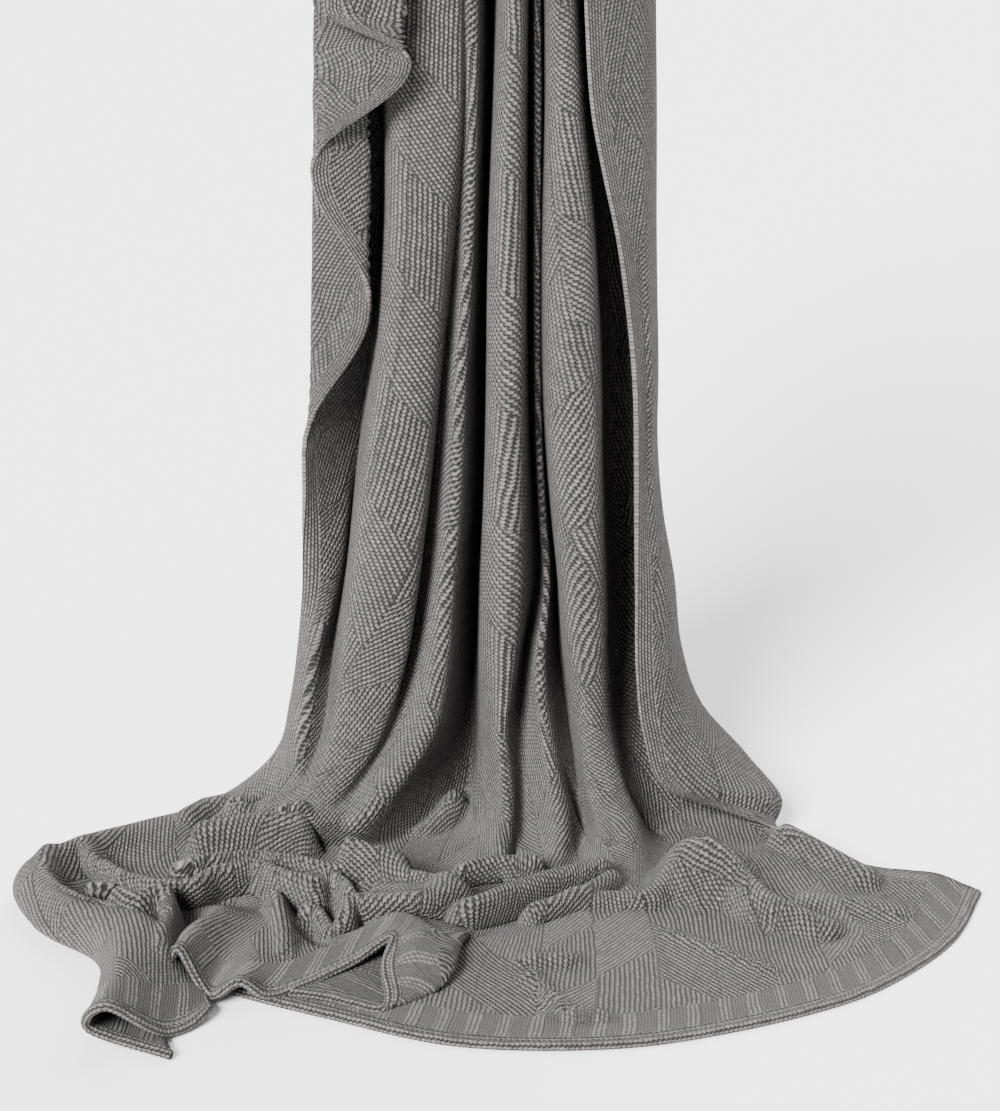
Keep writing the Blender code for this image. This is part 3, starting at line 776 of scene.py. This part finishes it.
def blend(tree, share, first, second):
    """first where share is 0 and second where it is 1."""
    node = tree.nodes.new("ShaderNodeMix")
    put(tree, node.inputs["Factor"], share)
    put(tree, node.inputs["A"], first)
    put(tree, node.inputs["B"], second)
    return node.outputs["Result"]


print("helpers for sums:", len((put, calc, times, scaled, ramp, blend)))

# %% [markdown]
# ## Groups of nodes
# One long row of nodes would hold every kind of knit, but nobody could read it. Each kind gets a
# group of its own instead, which takes a place on the flat cloth and gives two numbers: how high
# the yarn stands there, and how dark it is. A group can then be used again at another size.

# %% Helpers for groups
PLACE_INPUTS = (("across", 0), ("along", 0))
# The darkness output, named hole, holds the holes' lost light, painted shade and the stitches' own tones
LOOK_OUTPUTS = ("relief", "hole")


def new_group(name, inputs, outputs):
    """An empty node group with number sockets, and the sockets of its input and output nodes."""
    tree = bpy.data.node_groups.new(name, "ShaderNodeTree")
    for label, default in inputs:
        socket = tree.interface.new_socket(label, in_out="INPUT", socket_type="NodeSocketFloat")
        socket.default_value = default
    for label in outputs:
        tree.interface.new_socket(label, in_out="OUTPUT", socket_type="NodeSocketFloat")
    start, end = tree.nodes.new("NodeGroupInput"), tree.nodes.new("NodeGroupOutput")
    return tree, start.outputs, end.inputs


def use(tree, group, **values):
    """A node of the group, with its inputs set by name, underscores standing for spaces."""
    node = tree.nodes.new("ShaderNodeGroup")
    node.node_tree = group
    for label, value in values.items():
        put(tree, node.inputs[label.replace("_", " ")], value)
    return node.outputs


print("helpers for groups:", len((new_group, use)))

# %% [markdown]
# ## Ribs
# A rib is a column of V-shaped stitches, rounded across and bound at each side by a groove where the
# yarn crosses to the back. There the light is lost in a row of small dark holes, and painted shade
# darkens the yarn between the holes and the dip between one stitch and the next. The group gives the
# relief, from 0 in a hole to 1 on a crest, and how dark the point is. A picture of knitting would
# show its repeats. Waves and soft steps don't, and they can be slanted and made finer. No two
# stitches are pulled equally tight, so each also has a slight tone of its own.

# %% The rib group
RIB_PITCH, STITCH = 0.0036, 0.0035
# Shares of a stitch's length: how far each rib is out of step with the next, and how its legs slant
ROW_SHIFT, LEG_SLANT = 0.37, -0.55
DOME_POWER = 2.4
# How much of the relief the single loops make
BEAD = 0.42
# The groove, from the middle of the rib (0) to its side (1)
GAP_START, GAP_END = 0.28, 0.64
# The holes in the groove: where a wave along it rises, and the painted shade on the bridges between the
# holes
HOLE_START, HOLE_END, BRIDGE_PAINTED_SHADE = -0.9, 0.1, 0.46
# Painted shade in the dip between one stitch and the next: where it ends on the wave, and how dark it is
TICK_END, TICK_PAINTED_SHADE = 0.46, 0.52
# How far the tones of single stitches spread, and the lightest of them
OWN_TONE, LIGHTEST_TONE = 0.36, -0.10


def stitch_tone(tree, rib_place, stitch_place):
    """A slight tone of its own for each stitch."""
    noise = tree.nodes.new("ShaderNodeTexWhiteNoise")
    noise.noise_dimensions = "2D"
    number = tree.nodes.new("ShaderNodeCombineXYZ")
    put(tree, number.inputs["X"], calc(tree, "FLOOR", rib_place))
    put(tree, number.inputs["Y"], calc(tree, "FLOOR", stitch_place))
    put(tree, noise.inputs["Vector"], number.outputs["Vector"])
    return scaled(tree, noise.outputs["Value"], OWN_TONE, LIGHTEST_TONE)


def rib_group():
    """Relief: a dome across times a wave along. Darkness: dashes in the grooves, plus painted shade where
    one stitch meets the next, and tones.
    """
    sizes = ("pitch", RIB_PITCH), ("stitch", STITCH), ("hole depth", 1.0)
    tree, given, result = new_group("ribs", (*PLACE_INPUTS, *sizes), LOOK_OUTPUTS)
    place = calc(tree, "DIVIDE", given["across"], given["pitch"])
    from_middle = calc(tree, "ABSOLUTE", calc(tree, "SUBTRACT", calc(tree, "FRACT", place), 0.5))
    side = times(tree, from_middle, 2.0)
    row = calc(tree, "DIVIDE", given["along"], given["stitch"])
    row = calc(tree, "ADD", row, times(tree, calc(tree, "FLOOR", place), ROW_SHIFT))
    leg = calc(tree, "ADD", row, times(tree, side, LEG_SLANT))
    wave = scaled(tree, calc(tree, "SINE", times(tree, leg, math.tau)), 0.5, 0.5)
    dome = calc(tree, "SUBTRACT", 1.0, calc(tree, "POWER", side, DOME_POWER))
    put(tree, result["relief"], times(tree, dome, scaled(tree, wave, BEAD, 1 - BEAD)))
    gap = ramp(tree, side, GAP_START, GAP_END)
    along_groove = calc(tree, "COSINE", times(tree, row, math.tau))
    # Painted shade on the bridges between the groove's holes
    dash = ramp(tree, along_groove, HOLE_START, HOLE_END, BRIDGE_PAINTED_SHADE, 1.0)
    # Painted shade in the dip between one stitch and the next
    tick_shade = ramp(tree, wave, 0.0, TICK_END, TICK_PAINTED_SHADE, 0.0)
    lines = calc(tree, "ADD", tick_shade, stitch_tone(tree, place, leg))
    hole = calc(tree, "ADD", times(tree, gap, dash), lines, clamp=True)
    put(tree, result["hole"], times(tree, hole, given["hole depth"]))
    return tree


ribs = rib_group()
print("rib group nodes:", len(ribs.nodes))

# %% [markdown]
# ## Panels
# The ribs change direction from panel to panel: upright in one, slanting in the next, with slanting
# ends between them. The layout here is a plain regular one: upright strips of panels, the slope
# mirrored every second strip, each strip stepped by half a panel against its neighbour. Whole
# numbers counted along the flat cloth tell which panel a point lies in, so none is cut out by hand.

# %% The panel group
PANEL_WIDTH = 0.044
PANEL_LENGTH = 0.088
PANEL_SLOPE = 0.9
RIB_LEAN = math.radians(37)


def to_border(tree, share, size):
    """Distance to the nearer end of a strip or panel, from the share (-0.5 to 0.5) of the way across it."""
    return times(tree, calc(tree, "SUBTRACT", 0.5, calc(tree, "ABSOLUTE", share)), size)


def panel_group():
    """Coordinates turned to the ribs of the panel that a flat place lies in, and how near its border is."""
    tree, given, result = new_group("panels", PLACE_INPUTS, ("across", "along", "border"))
    strip = calc(tree, "DIVIDE", given["across"], PANEL_WIDTH)
    number = calc(tree, "FLOOR", strip)
    within = calc(tree, "SUBTRACT", calc(tree, "FRACT", strip), 0.5)
    pair = calc(tree, "FLOOR", times(tree, number, 0.5))
    side = scaled(tree, calc(tree, "FLOORED_MODULO", pair, 2.0), -2.0, 1.0)
    rise = times(tree, times(tree, within, side), PANEL_SLOPE * PANEL_WIDTH)
    step = times(tree, number, 0.5 * PANEL_LENGTH)
    level = calc(tree, "ADD", calc(tree, "ADD", given["along"], rise), step)
    level = calc(tree, "DIVIDE", level, PANEL_LENGTH)
    slanting = calc(tree, "FLOORED_MODULO", calc(tree, "FLOOR", level), 2.0)
    turn = times(tree, times(tree, slanting, side), RIB_LEAN)
    cosine, sine = calc(tree, "COSINE", turn), calc(tree, "SINE", turn)
    x, y = given["across"], given["along"]
    put(tree, result["across"], calc(tree, "ADD", times(tree, x, cosine), times(tree, y, sine)))
    put(tree, result["along"], calc(tree, "SUBTRACT", times(tree, y, cosine), times(tree, x, sine)))
    from_middle = calc(tree, "SUBTRACT", calc(tree, "FRACT", level), 0.5)
    ends = to_border(tree, within, PANEL_WIDTH), to_border(tree, from_middle, PANEL_LENGTH)
    put(tree, result["border"], calc(tree, "MINIMUM", *ends))
    return tree


panels = panel_group()
print("panel group nodes:", len(panels.nodes))

# %% [markdown]
# ## The ribbed hem
# The hem is a ribbed border, knitted finer so that it lies flat: groups of three raised ribs with a
# plain fine-knit strip between them. It uses the rib group twice, with a pitch for each kind.

# %% The hem group
HEM_WIDTH = 0.040
RIB_GROUP = 0.0215
# Shares of a group: one raised rib, the three of them, and the run over which their sides rise
RIB_SHARE, RAISED_SHARE, RAISED_SIDES = 0.155, 0.46, 0.04
# Pitch, stitch and how dark the holes are, in the raised ribs and in the plain strip
HEM_RIB, HEM_STITCH, HEM_HOLES = RIB_GROUP * RIB_SHARE, 0.0034, 0.80
PLAIN_RIB, PLAIN_STITCH, PLAIN_HOLES = 0.0022, 0.0024, 0.62
# The raised ribs' relief and the height that it starts from, and the plain strip's relief
HEM_RELIEF, HEM_LIFT, PLAIN_RELIEF = 0.75, 0.30, 0.35
# How far the plain strip's holes stand out, and the painted shade that darkens the low plain strip between
# them
PLAIN_CONTRAST, PLAIN_PAINTED_SHADE = 0.50, 0.56


def hem_group():
    """Relief and darkness of the ribbed hem."""
    tree, given, result = new_group("ribbed hem", PLACE_INPUTS, LOOK_OUTPUTS)
    x, y = given["across"], given["along"]
    place = calc(tree, "FRACT", calc(tree, "DIVIDE", x, RIB_GROUP))
    fine = use(tree, ribs, across=x, along=y, pitch=HEM_RIB, stitch=HEM_STITCH)
    sizes = {"pitch": PLAIN_RIB, "stitch": PLAIN_STITCH, "hole_depth": PLAIN_HOLES}
    plain = use(tree, ribs, across=x, along=y, **sizes)
    start = ramp(tree, place, 0.0, RAISED_SIDES)
    end = ramp(tree, place, RAISED_SHARE, RAISED_SHARE + RAISED_SIDES)
    raised = calc(tree, "SUBTRACT", start, end)
    low = times(tree, plain["relief"], PLAIN_RELIEF)
    high = scaled(tree, fine["relief"], HEM_RELIEF, HEM_LIFT)
    put(tree, result["relief"], blend(tree, raised, low, high))
    # Painted shade over the low plain strip between the raised ribs
    dark = scaled(tree, plain["hole"], PLAIN_CONTRAST, PLAIN_PAINTED_SHADE, clamp=True)
    put(tree, result["hole"], blend(tree, raised, dark, times(tree, fine["hole"], HEM_HOLES)))
    return tree


hem = hem_group()
print("hem group nodes:", len(hem.nodes))

# %% [markdown]
# ## The cast-on edge and the selvedge
# The cast-on edge is two ropes of stitches that run along the hem, so its ribs are turned through a
# right angle. The side edges have a narrow selvedge of fine ribs. Both are shifted by half a rib, so
# that a whole rib and not a groove lies on the very edge.

# %% The edge groups
# The ropes' stitch, their relief and the height that it starts from
EDGE_STITCH, EDGE_RELIEF, EDGE_LIFT = 0.0036, 0.9, 0.35
SELVEDGE_WIDTH = 0.014
SELVEDGE_RIB, SELVEDGE_STITCH, SELVEDGE_RELIEF = 0.0027, 0.0031, 0.6


def edge_group():
    """Relief and darkness of the cast-on edge: two ropes of stitches with a row of holes beside each."""
    tree, given, result = new_group("cast-on edge", PLACE_INPUTS, LOOK_OUTPUTS)
    past_edge = calc(tree, "ADD", given["along"], 0.5 * EDGE_ROPE)
    ropes = use(tree, ribs, across=past_edge, along=given["across"], pitch=EDGE_ROPE, stitch=EDGE_STITCH)
    put(tree, result["relief"], scaled(tree, ropes["relief"], EDGE_RELIEF, EDGE_LIFT))
    put(tree, result["hole"], ropes["hole"])
    return tree


def selvedge_group():
    """Relief and darkness of the fine side border."""
    tree, given, result = new_group("selvedge", PLACE_INPUTS, LOOK_OUTPUTS)
    past_edge = calc(tree, "ADD", given["across"], 0.5 * SELVEDGE_RIB)
    sizes = {"pitch": SELVEDGE_RIB, "stitch": SELVEDGE_STITCH}
    fine = use(tree, ribs, across=past_edge, along=given["along"], **sizes)
    put(tree, result["relief"], times(tree, fine["relief"], SELVEDGE_RELIEF))
    put(tree, result["hole"], fine["hole"])
    return tree


cast_on, selvedge = edge_group(), selvedge_group()
print("edge group nodes:", len(cast_on.nodes), "and", len(selvedge.nodes))

# %% [markdown]
# ## The whole knit
# One group lays the panels over the field of the blanket and the borders along its edges. The ribs
# sink a little where panels meet, because the stitches there pull at each other, and painted shade
# darkens the sunk seam. Each border then covers what lies under it, with a step that is softer than
# a sharp cut but narrower than a stitch.

# %% The knit group
# The ribs sink towards a panel's border, between these distances from it, and painted shade darkens the sunk
# seam
SEAM_START, SEAM_END = 0.0004, 0.0018
SEAM_DEPTH, SEAM_PAINTED_SHADE = 0.45, 0.25
# How far a border's step reaches
BORDER_SOFTNESS = 0.0006
EDGE_SOFTNESS = 0.0008
KNIT_INPUTS = (*PLACE_INPUTS, ("from hem", 1), ("from top", 1), ("from side", 1))


def laid_over(tree, share, under, over):
    """A border's relief and darkness over those of the knit under it, where its share is 1."""
    return {label: blend(tree, share, under[label], over[label]) for label in LOOK_OUTPUTS}


def knit_group():
    """Relief and darkness of the knit anywhere on the blanket."""
    tree, given, result = new_group("knit", KNIT_INPUTS, LOOK_OUTPUTS)
    panel = use(tree, panels, across=given["across"], along=given["along"])
    field = use(tree, ribs, across=panel["across"], along=panel["along"])
    seam = ramp(tree, panel["border"], SEAM_START, SEAM_END)
    sunk = scaled(tree, seam, SEAM_DEPTH, 1 - SEAM_DEPTH)
    # Painted shade in the sunk seam between panels
    seam_painted_shade = scaled(tree, seam, -SEAM_PAINTED_SHADE, SEAM_PAINTED_SHADE)
    look = {
        "relief": times(tree, field["relief"], sunk),
        "hole": calc(tree, "ADD", field["hole"], seam_painted_shade, clamp=True),
    }
    side = use(tree, selvedge, across=given["from side"], along=given["along"])
    ends = SELVEDGE_WIDTH - BORDER_SOFTNESS, SELVEDGE_WIDTH + BORDER_SOFTNESS
    look = laid_over(tree, ramp(tree, given["from side"], *ends, 1.0, 0.0), look, side)
    from_end = calc(tree, "MINIMUM", given["from hem"], given["from top"])
    border = use(tree, hem, across=given["across"], along=from_end)
    ends = HEM_WIDTH - BORDER_SOFTNESS, HEM_WIDTH + BORDER_SOFTNESS
    look = laid_over(tree, ramp(tree, from_end, *ends, 1.0, 0.0), look, border)
    edge = use(tree, cast_on, across=given["across"], along=from_end)
    ends = CAST_ON_WIDTH - EDGE_SOFTNESS, CAST_ON_WIDTH
    look = laid_over(tree, ramp(tree, from_end, *ends, 1.0, 0.0), look, edge)
    for label, value in look.items():
        put(tree, result[label], value)
    return tree


knit = knit_group()
print("knit group nodes:", len(knit.nodes))

# %% [markdown]
# ## Uneven hands
# Knitting is never quite straight: rows drift by up to a third of a stitch and come back. The cloth
# itself could be bent for that, but it is simpler to move the flat place by a soft noise before the
# stitches are drawn, so that the rows sway while the cloth stays still.

# %% Where a point lies on the knit
# The sway from one side to the other, and its noise's scale
SWAY, SWAY_SCALE = 0.0022, 70


def noise_of(tree, place, scale, detail=None):
    """A soft noise on the flat place."""
    noise = tree.nodes.new("ShaderNodeTexNoise")
    noise.inputs["Scale"].default_value = scale
    if detail is not None:
        noise.inputs["Detail"].default_value = detail
    tree.links.new(place, noise.inputs["Vector"])
    return noise.outputs["Fac"]


def swaying_place(tree, place):
    """Across and along on the flat cloth, each moved by the sway."""
    split = tree.nodes.new("ShaderNodeSeparateXYZ")
    tree.links.new(place, split.inputs[0])
    sway = scaled(tree, noise_of(tree, place, SWAY_SCALE), SWAY, -0.5 * SWAY)
    return {
        "across": calc(tree, "ADD", split.outputs["X"], sway),
        "along": calc(tree, "SUBTRACT", split.outputs["Y"], sway),
    }


def edge_distances(tree):
    """The distances that the cloth's points keep, for the borders."""
    kept = {}
    for label in ("from_hem", "from_top", "from_side"):
        attribute = tree.nodes.new("ShaderNodeAttribute")
        attribute.attribute_name = label
        kept[label] = attribute.outputs["Fac"]
    return kept


print("sway:", round(SWAY / 2 / STITCH, 2), "of a stitch each way")

# %% [markdown]
# ## Yarn
# The yarn is a soft warm grey: matt, a little fuzzy, with slight light and dark flecks along it. Its
# colour mixes a light and a dark grey by a fine and a broad noise, and the holes take the light away.
# The relief drives a bump, and crests are rubbed a little rougher. The reverse shows the backs of
# the stitches in the same yarn, and its colour is darkened as painted shade.

# %% The yarn's colour
YARN_LIGHT = (0.136, 0.120, 0.1175, 1)
YARN_DARK = (0.057, 0.050, 0.0485, 1)
HOLE_COLOUR = (0.003, 0.0026, 0.0025, 1)
# Fine flecks in the yarn and broad patches over the cloth, as noises, with the flecks' share
FLECK_SCALE, FLECK_DETAIL, FLECK_SHARE = 420, 3, 0.75
PATCH_SCALE = 11
# The noise is dark yarn up to the first value, and light yarn from the second
TONE_START, TONE_END = 0.3, 0.7


def colour_mix(tree, share, first, second):
    """first where share is 0 and second where it is 1, as colours."""
    node = tree.nodes.new("ShaderNodeMix")
    node.data_type = "RGBA"
    tree.links.new(share, node.inputs["Factor"])
    for label, colour in (("A", first), ("B", second)):
        if isinstance(colour, tuple):
            node.inputs[label].default_value = colour
        else:
            tree.links.new(colour, node.inputs[label])
    return node.outputs["Result"]


def with_painted_shade(colour, painted_shade):
    """A colour times a painted shade factor."""
    return tuple(painted_shade * part for part in colour[:3]) + (1,)


def yarn_colour(tree, place, fleck, painted_shade):
    """The yarn's grey, from dark to light by its flecks and its broad patches, times the painted shade."""
    patch = times(tree, noise_of(tree, place, PATCH_SCALE), 1 - FLECK_SHARE)
    tone = calc(tree, "ADD", times(tree, fleck, FLECK_SHARE), patch)
    dark, light = with_painted_shade(YARN_DARK, painted_shade), with_painted_shade(YARN_LIGHT, painted_shade)
    return colour_mix(tree, ramp(tree, tone, TONE_START, TONE_END), dark, light)


print("lightest yarn:", YARN_LIGHT[:3])

# %% [markdown]
# ## Three yarn materials
# The face, the reverse and the cord are one yarn, so one function makes all three. Only the depth
# of the relief, the painted shade that darkens the reverse and the pattern differ. Numbers that are
# the same all over, such as the faint gloss and the sheen of the fuzz, are set on the shader itself.

# %% The yarn materials
# Depth of the relief, on the cloth and on the cord
KNIT_RELIEF = 0.0018
CORD_RELIEF = 0.0013
# Painted shade: the reverse takes the same yarn colour, darkened by this factor
REVERSE_PAINTED_SHADE = 0.84
# How far the flecks roughen the relief
FUZZ = 0.12
ROUGHNESS, ROUGHER_CRESTS, ROUGHER_FLECKS = 0.78, 0.08, 0.16
GLOSS = 0.2
SHEEN, SHEEN_ROUGHNESS = 0.06, 0.6


def yarn_material(name, relief_height, painted_shade, cord=False):
    """Knit cloth, or the edge cord: yarn colour with its painted shade, holes, bump and roughness."""
    material = bpy.data.materials.new(name)
    material.use_nodes = True
    tree = material.node_tree
    shader = tree.nodes["Principled BSDF"].inputs
    uv_map = tree.nodes.new("ShaderNodeUVMap")
    uv_map.uv_map = "flat place"
    place = uv_map.outputs[0]
    given = swaying_place(tree, place)
    cloth = use(tree, cast_on, **given) if cord else use(tree, knit, **given, **edge_distances(tree))
    fleck = noise_of(tree, place, FLECK_SCALE, FLECK_DETAIL)
    colour = colour_mix(tree, cloth["hole"], yarn_colour(tree, place, fleck, painted_shade), HOLE_COLOUR)
    tree.links.new(colour, shader["Base Color"])
    bump = tree.nodes.new("ShaderNodeBump")
    bump.inputs["Distance"].default_value = relief_height
    tree.links.new(scaled(tree, fleck, FUZZ, cloth["relief"]), bump.inputs["Height"])
    tree.links.new(bump.outputs["Normal"], shader["Normal"])
    rough = scaled(tree, cloth["relief"], ROUGHER_CRESTS, ROUGHNESS)
    tree.links.new(scaled(tree, fleck, ROUGHER_FLECKS, rough), shader["Roughness"])
    shader["Specular IOR Level"].default_value = GLOSS
    shader["Sheen Weight"].default_value = SHEEN
    shader["Sheen Roughness"].default_value = SHEEN_ROUGHNESS
    return material


blanket.data.materials.append(yarn_material("grey knit face", KNIT_RELIEF, 1.0))
# The reverse is the same yarn, darkened by painted shade
blanket.data.materials.append(yarn_material("grey knit reverse in painted shade", KNIT_RELIEF, REVERSE_PAINTED_SHADE))
cord.data.materials.append(yarn_material("grey edge cord", CORD_RELIEF, 1.0, cord=True))
print("materials:", [material.name for material in (*blanket.data.materials, *cord.data.materials)])

# %% [markdown]
# ## The floor
# The photograph's ground is one pale grey. A backdrop that curves up behind the throw would hide it
# from behind. A wide pale floor gives the same look, because the camera looks down and never meets
# the horizon, and nothing stands in the way of the other views.

# %% Floor
FLOOR_REACH = 14.0
PAPER_COLOUR = (0.88, 0.88, 0.88, 1)
PAPER_ROUGHNESS = 0.95
level = -TOP_EDGE_HEIGHT * MM
corners = [(x * FLOOR_REACH, y * FLOOR_REACH, level) for x, y in ((-1, -1), (1, -1), (1, 1), (-1, 1))]
floor_mesh = bpy.data.meshes.new("floor")
floor_mesh.from_pydata(corners, [], [(0, 1, 2, 3)])
floor = bpy.data.objects.new("floor", floor_mesh)
bpy.context.scene.collection.objects.link(floor)
paper = bpy.data.materials.new("pale paper")
paper.use_nodes = True
paper.node_tree.nodes["Principled BSDF"].inputs["Base Color"].default_value = PAPER_COLOUR
paper.node_tree.nodes["Principled BSDF"].inputs["Roughness"].default_value = PAPER_ROUGHNESS
floor_mesh.materials.append(paper)
print("floor:", 2 * FLOOR_REACH, "m square")

# %% [markdown]
# ## Light
# A large soft light stands at the front left and leaves the valleys between the folds dark. A sun lamp
# with a wide disc does that evenly over the whole floor, where a near lamp would leave a bright spot.
# A weaker one behind lights the back, and a pale surround fills the shadows.

# %% Lights
SURROUND_STRENGTH = 0.75
# Light, azimuth from the front to the right, elevation and width in degrees, strength
LIGHTS = (
    ("key", -27, 31, 24, 17.5),
    ("back", 150, 42, 50, 5.0),
)


def soft_sky_light(name, azimuth, elevation, width, strength):
    """A far light as wide as so many degrees of the sky."""
    data = bpy.data.lights.new(name, "SUN")
    data.angle = math.radians(width)
    data.energy = strength
    light = bpy.data.objects.new(name, data)
    light.rotation_euler = (math.radians(90 - elevation), 0, math.radians(azimuth))
    bpy.context.scene.collection.objects.link(light)


world = bpy.data.worlds.new("studio")
world.use_nodes = True
world.node_tree.nodes["Background"].inputs["Color"].default_value = (1, 1, 1, 1)
world.node_tree.nodes["Background"].inputs["Strength"].default_value = SURROUND_STRENGTH
bpy.context.scene.world = world
for row in LIGHTS:
    soft_sky_light(*row)
print("lights:", [row[0] for row in LIGHTS])

# %% [markdown]
# ## The camera
# The photograph was taken from a little over two metres away, a metre above the floor, looking
# slightly down with a long lens. Its place and tilt could be guessed, but they are worked out from
# the picture's perspective, so that the folds fall where the photograph shows them.

# %% Camera
# The eye's place in the tables' millimetres: x, y and the height above the floor
EYE = (0.0, -2223.0, 983.0)
LOOK_DOWN = 18.9
SENSOR_WIDTH, LENS = 36.0, 104.15
camera_data = bpy.data.cameras.new("camera")
camera_data.sensor_fit = "HORIZONTAL"
camera_data.sensor_width = SENSOR_WIDTH
camera_data.lens = LENS
camera = bpy.data.objects.new("camera", camera_data)
camera.location = [(a - b) * MM for a, b in zip(EYE, (*TOP_EDGE_MIDDLE, TOP_EDGE_HEIGHT))]
camera.rotation_euler = (math.radians(90 - LOOK_DOWN), 0, 0)
bpy.context.scene.collection.objects.link(camera)
bpy.context.scene.camera = camera
print("camera at", [round(x, 3) for x in camera.location], "m")

# %% [markdown]
# ## Finish

# %% Finish
bpy.context.view_layer.update()
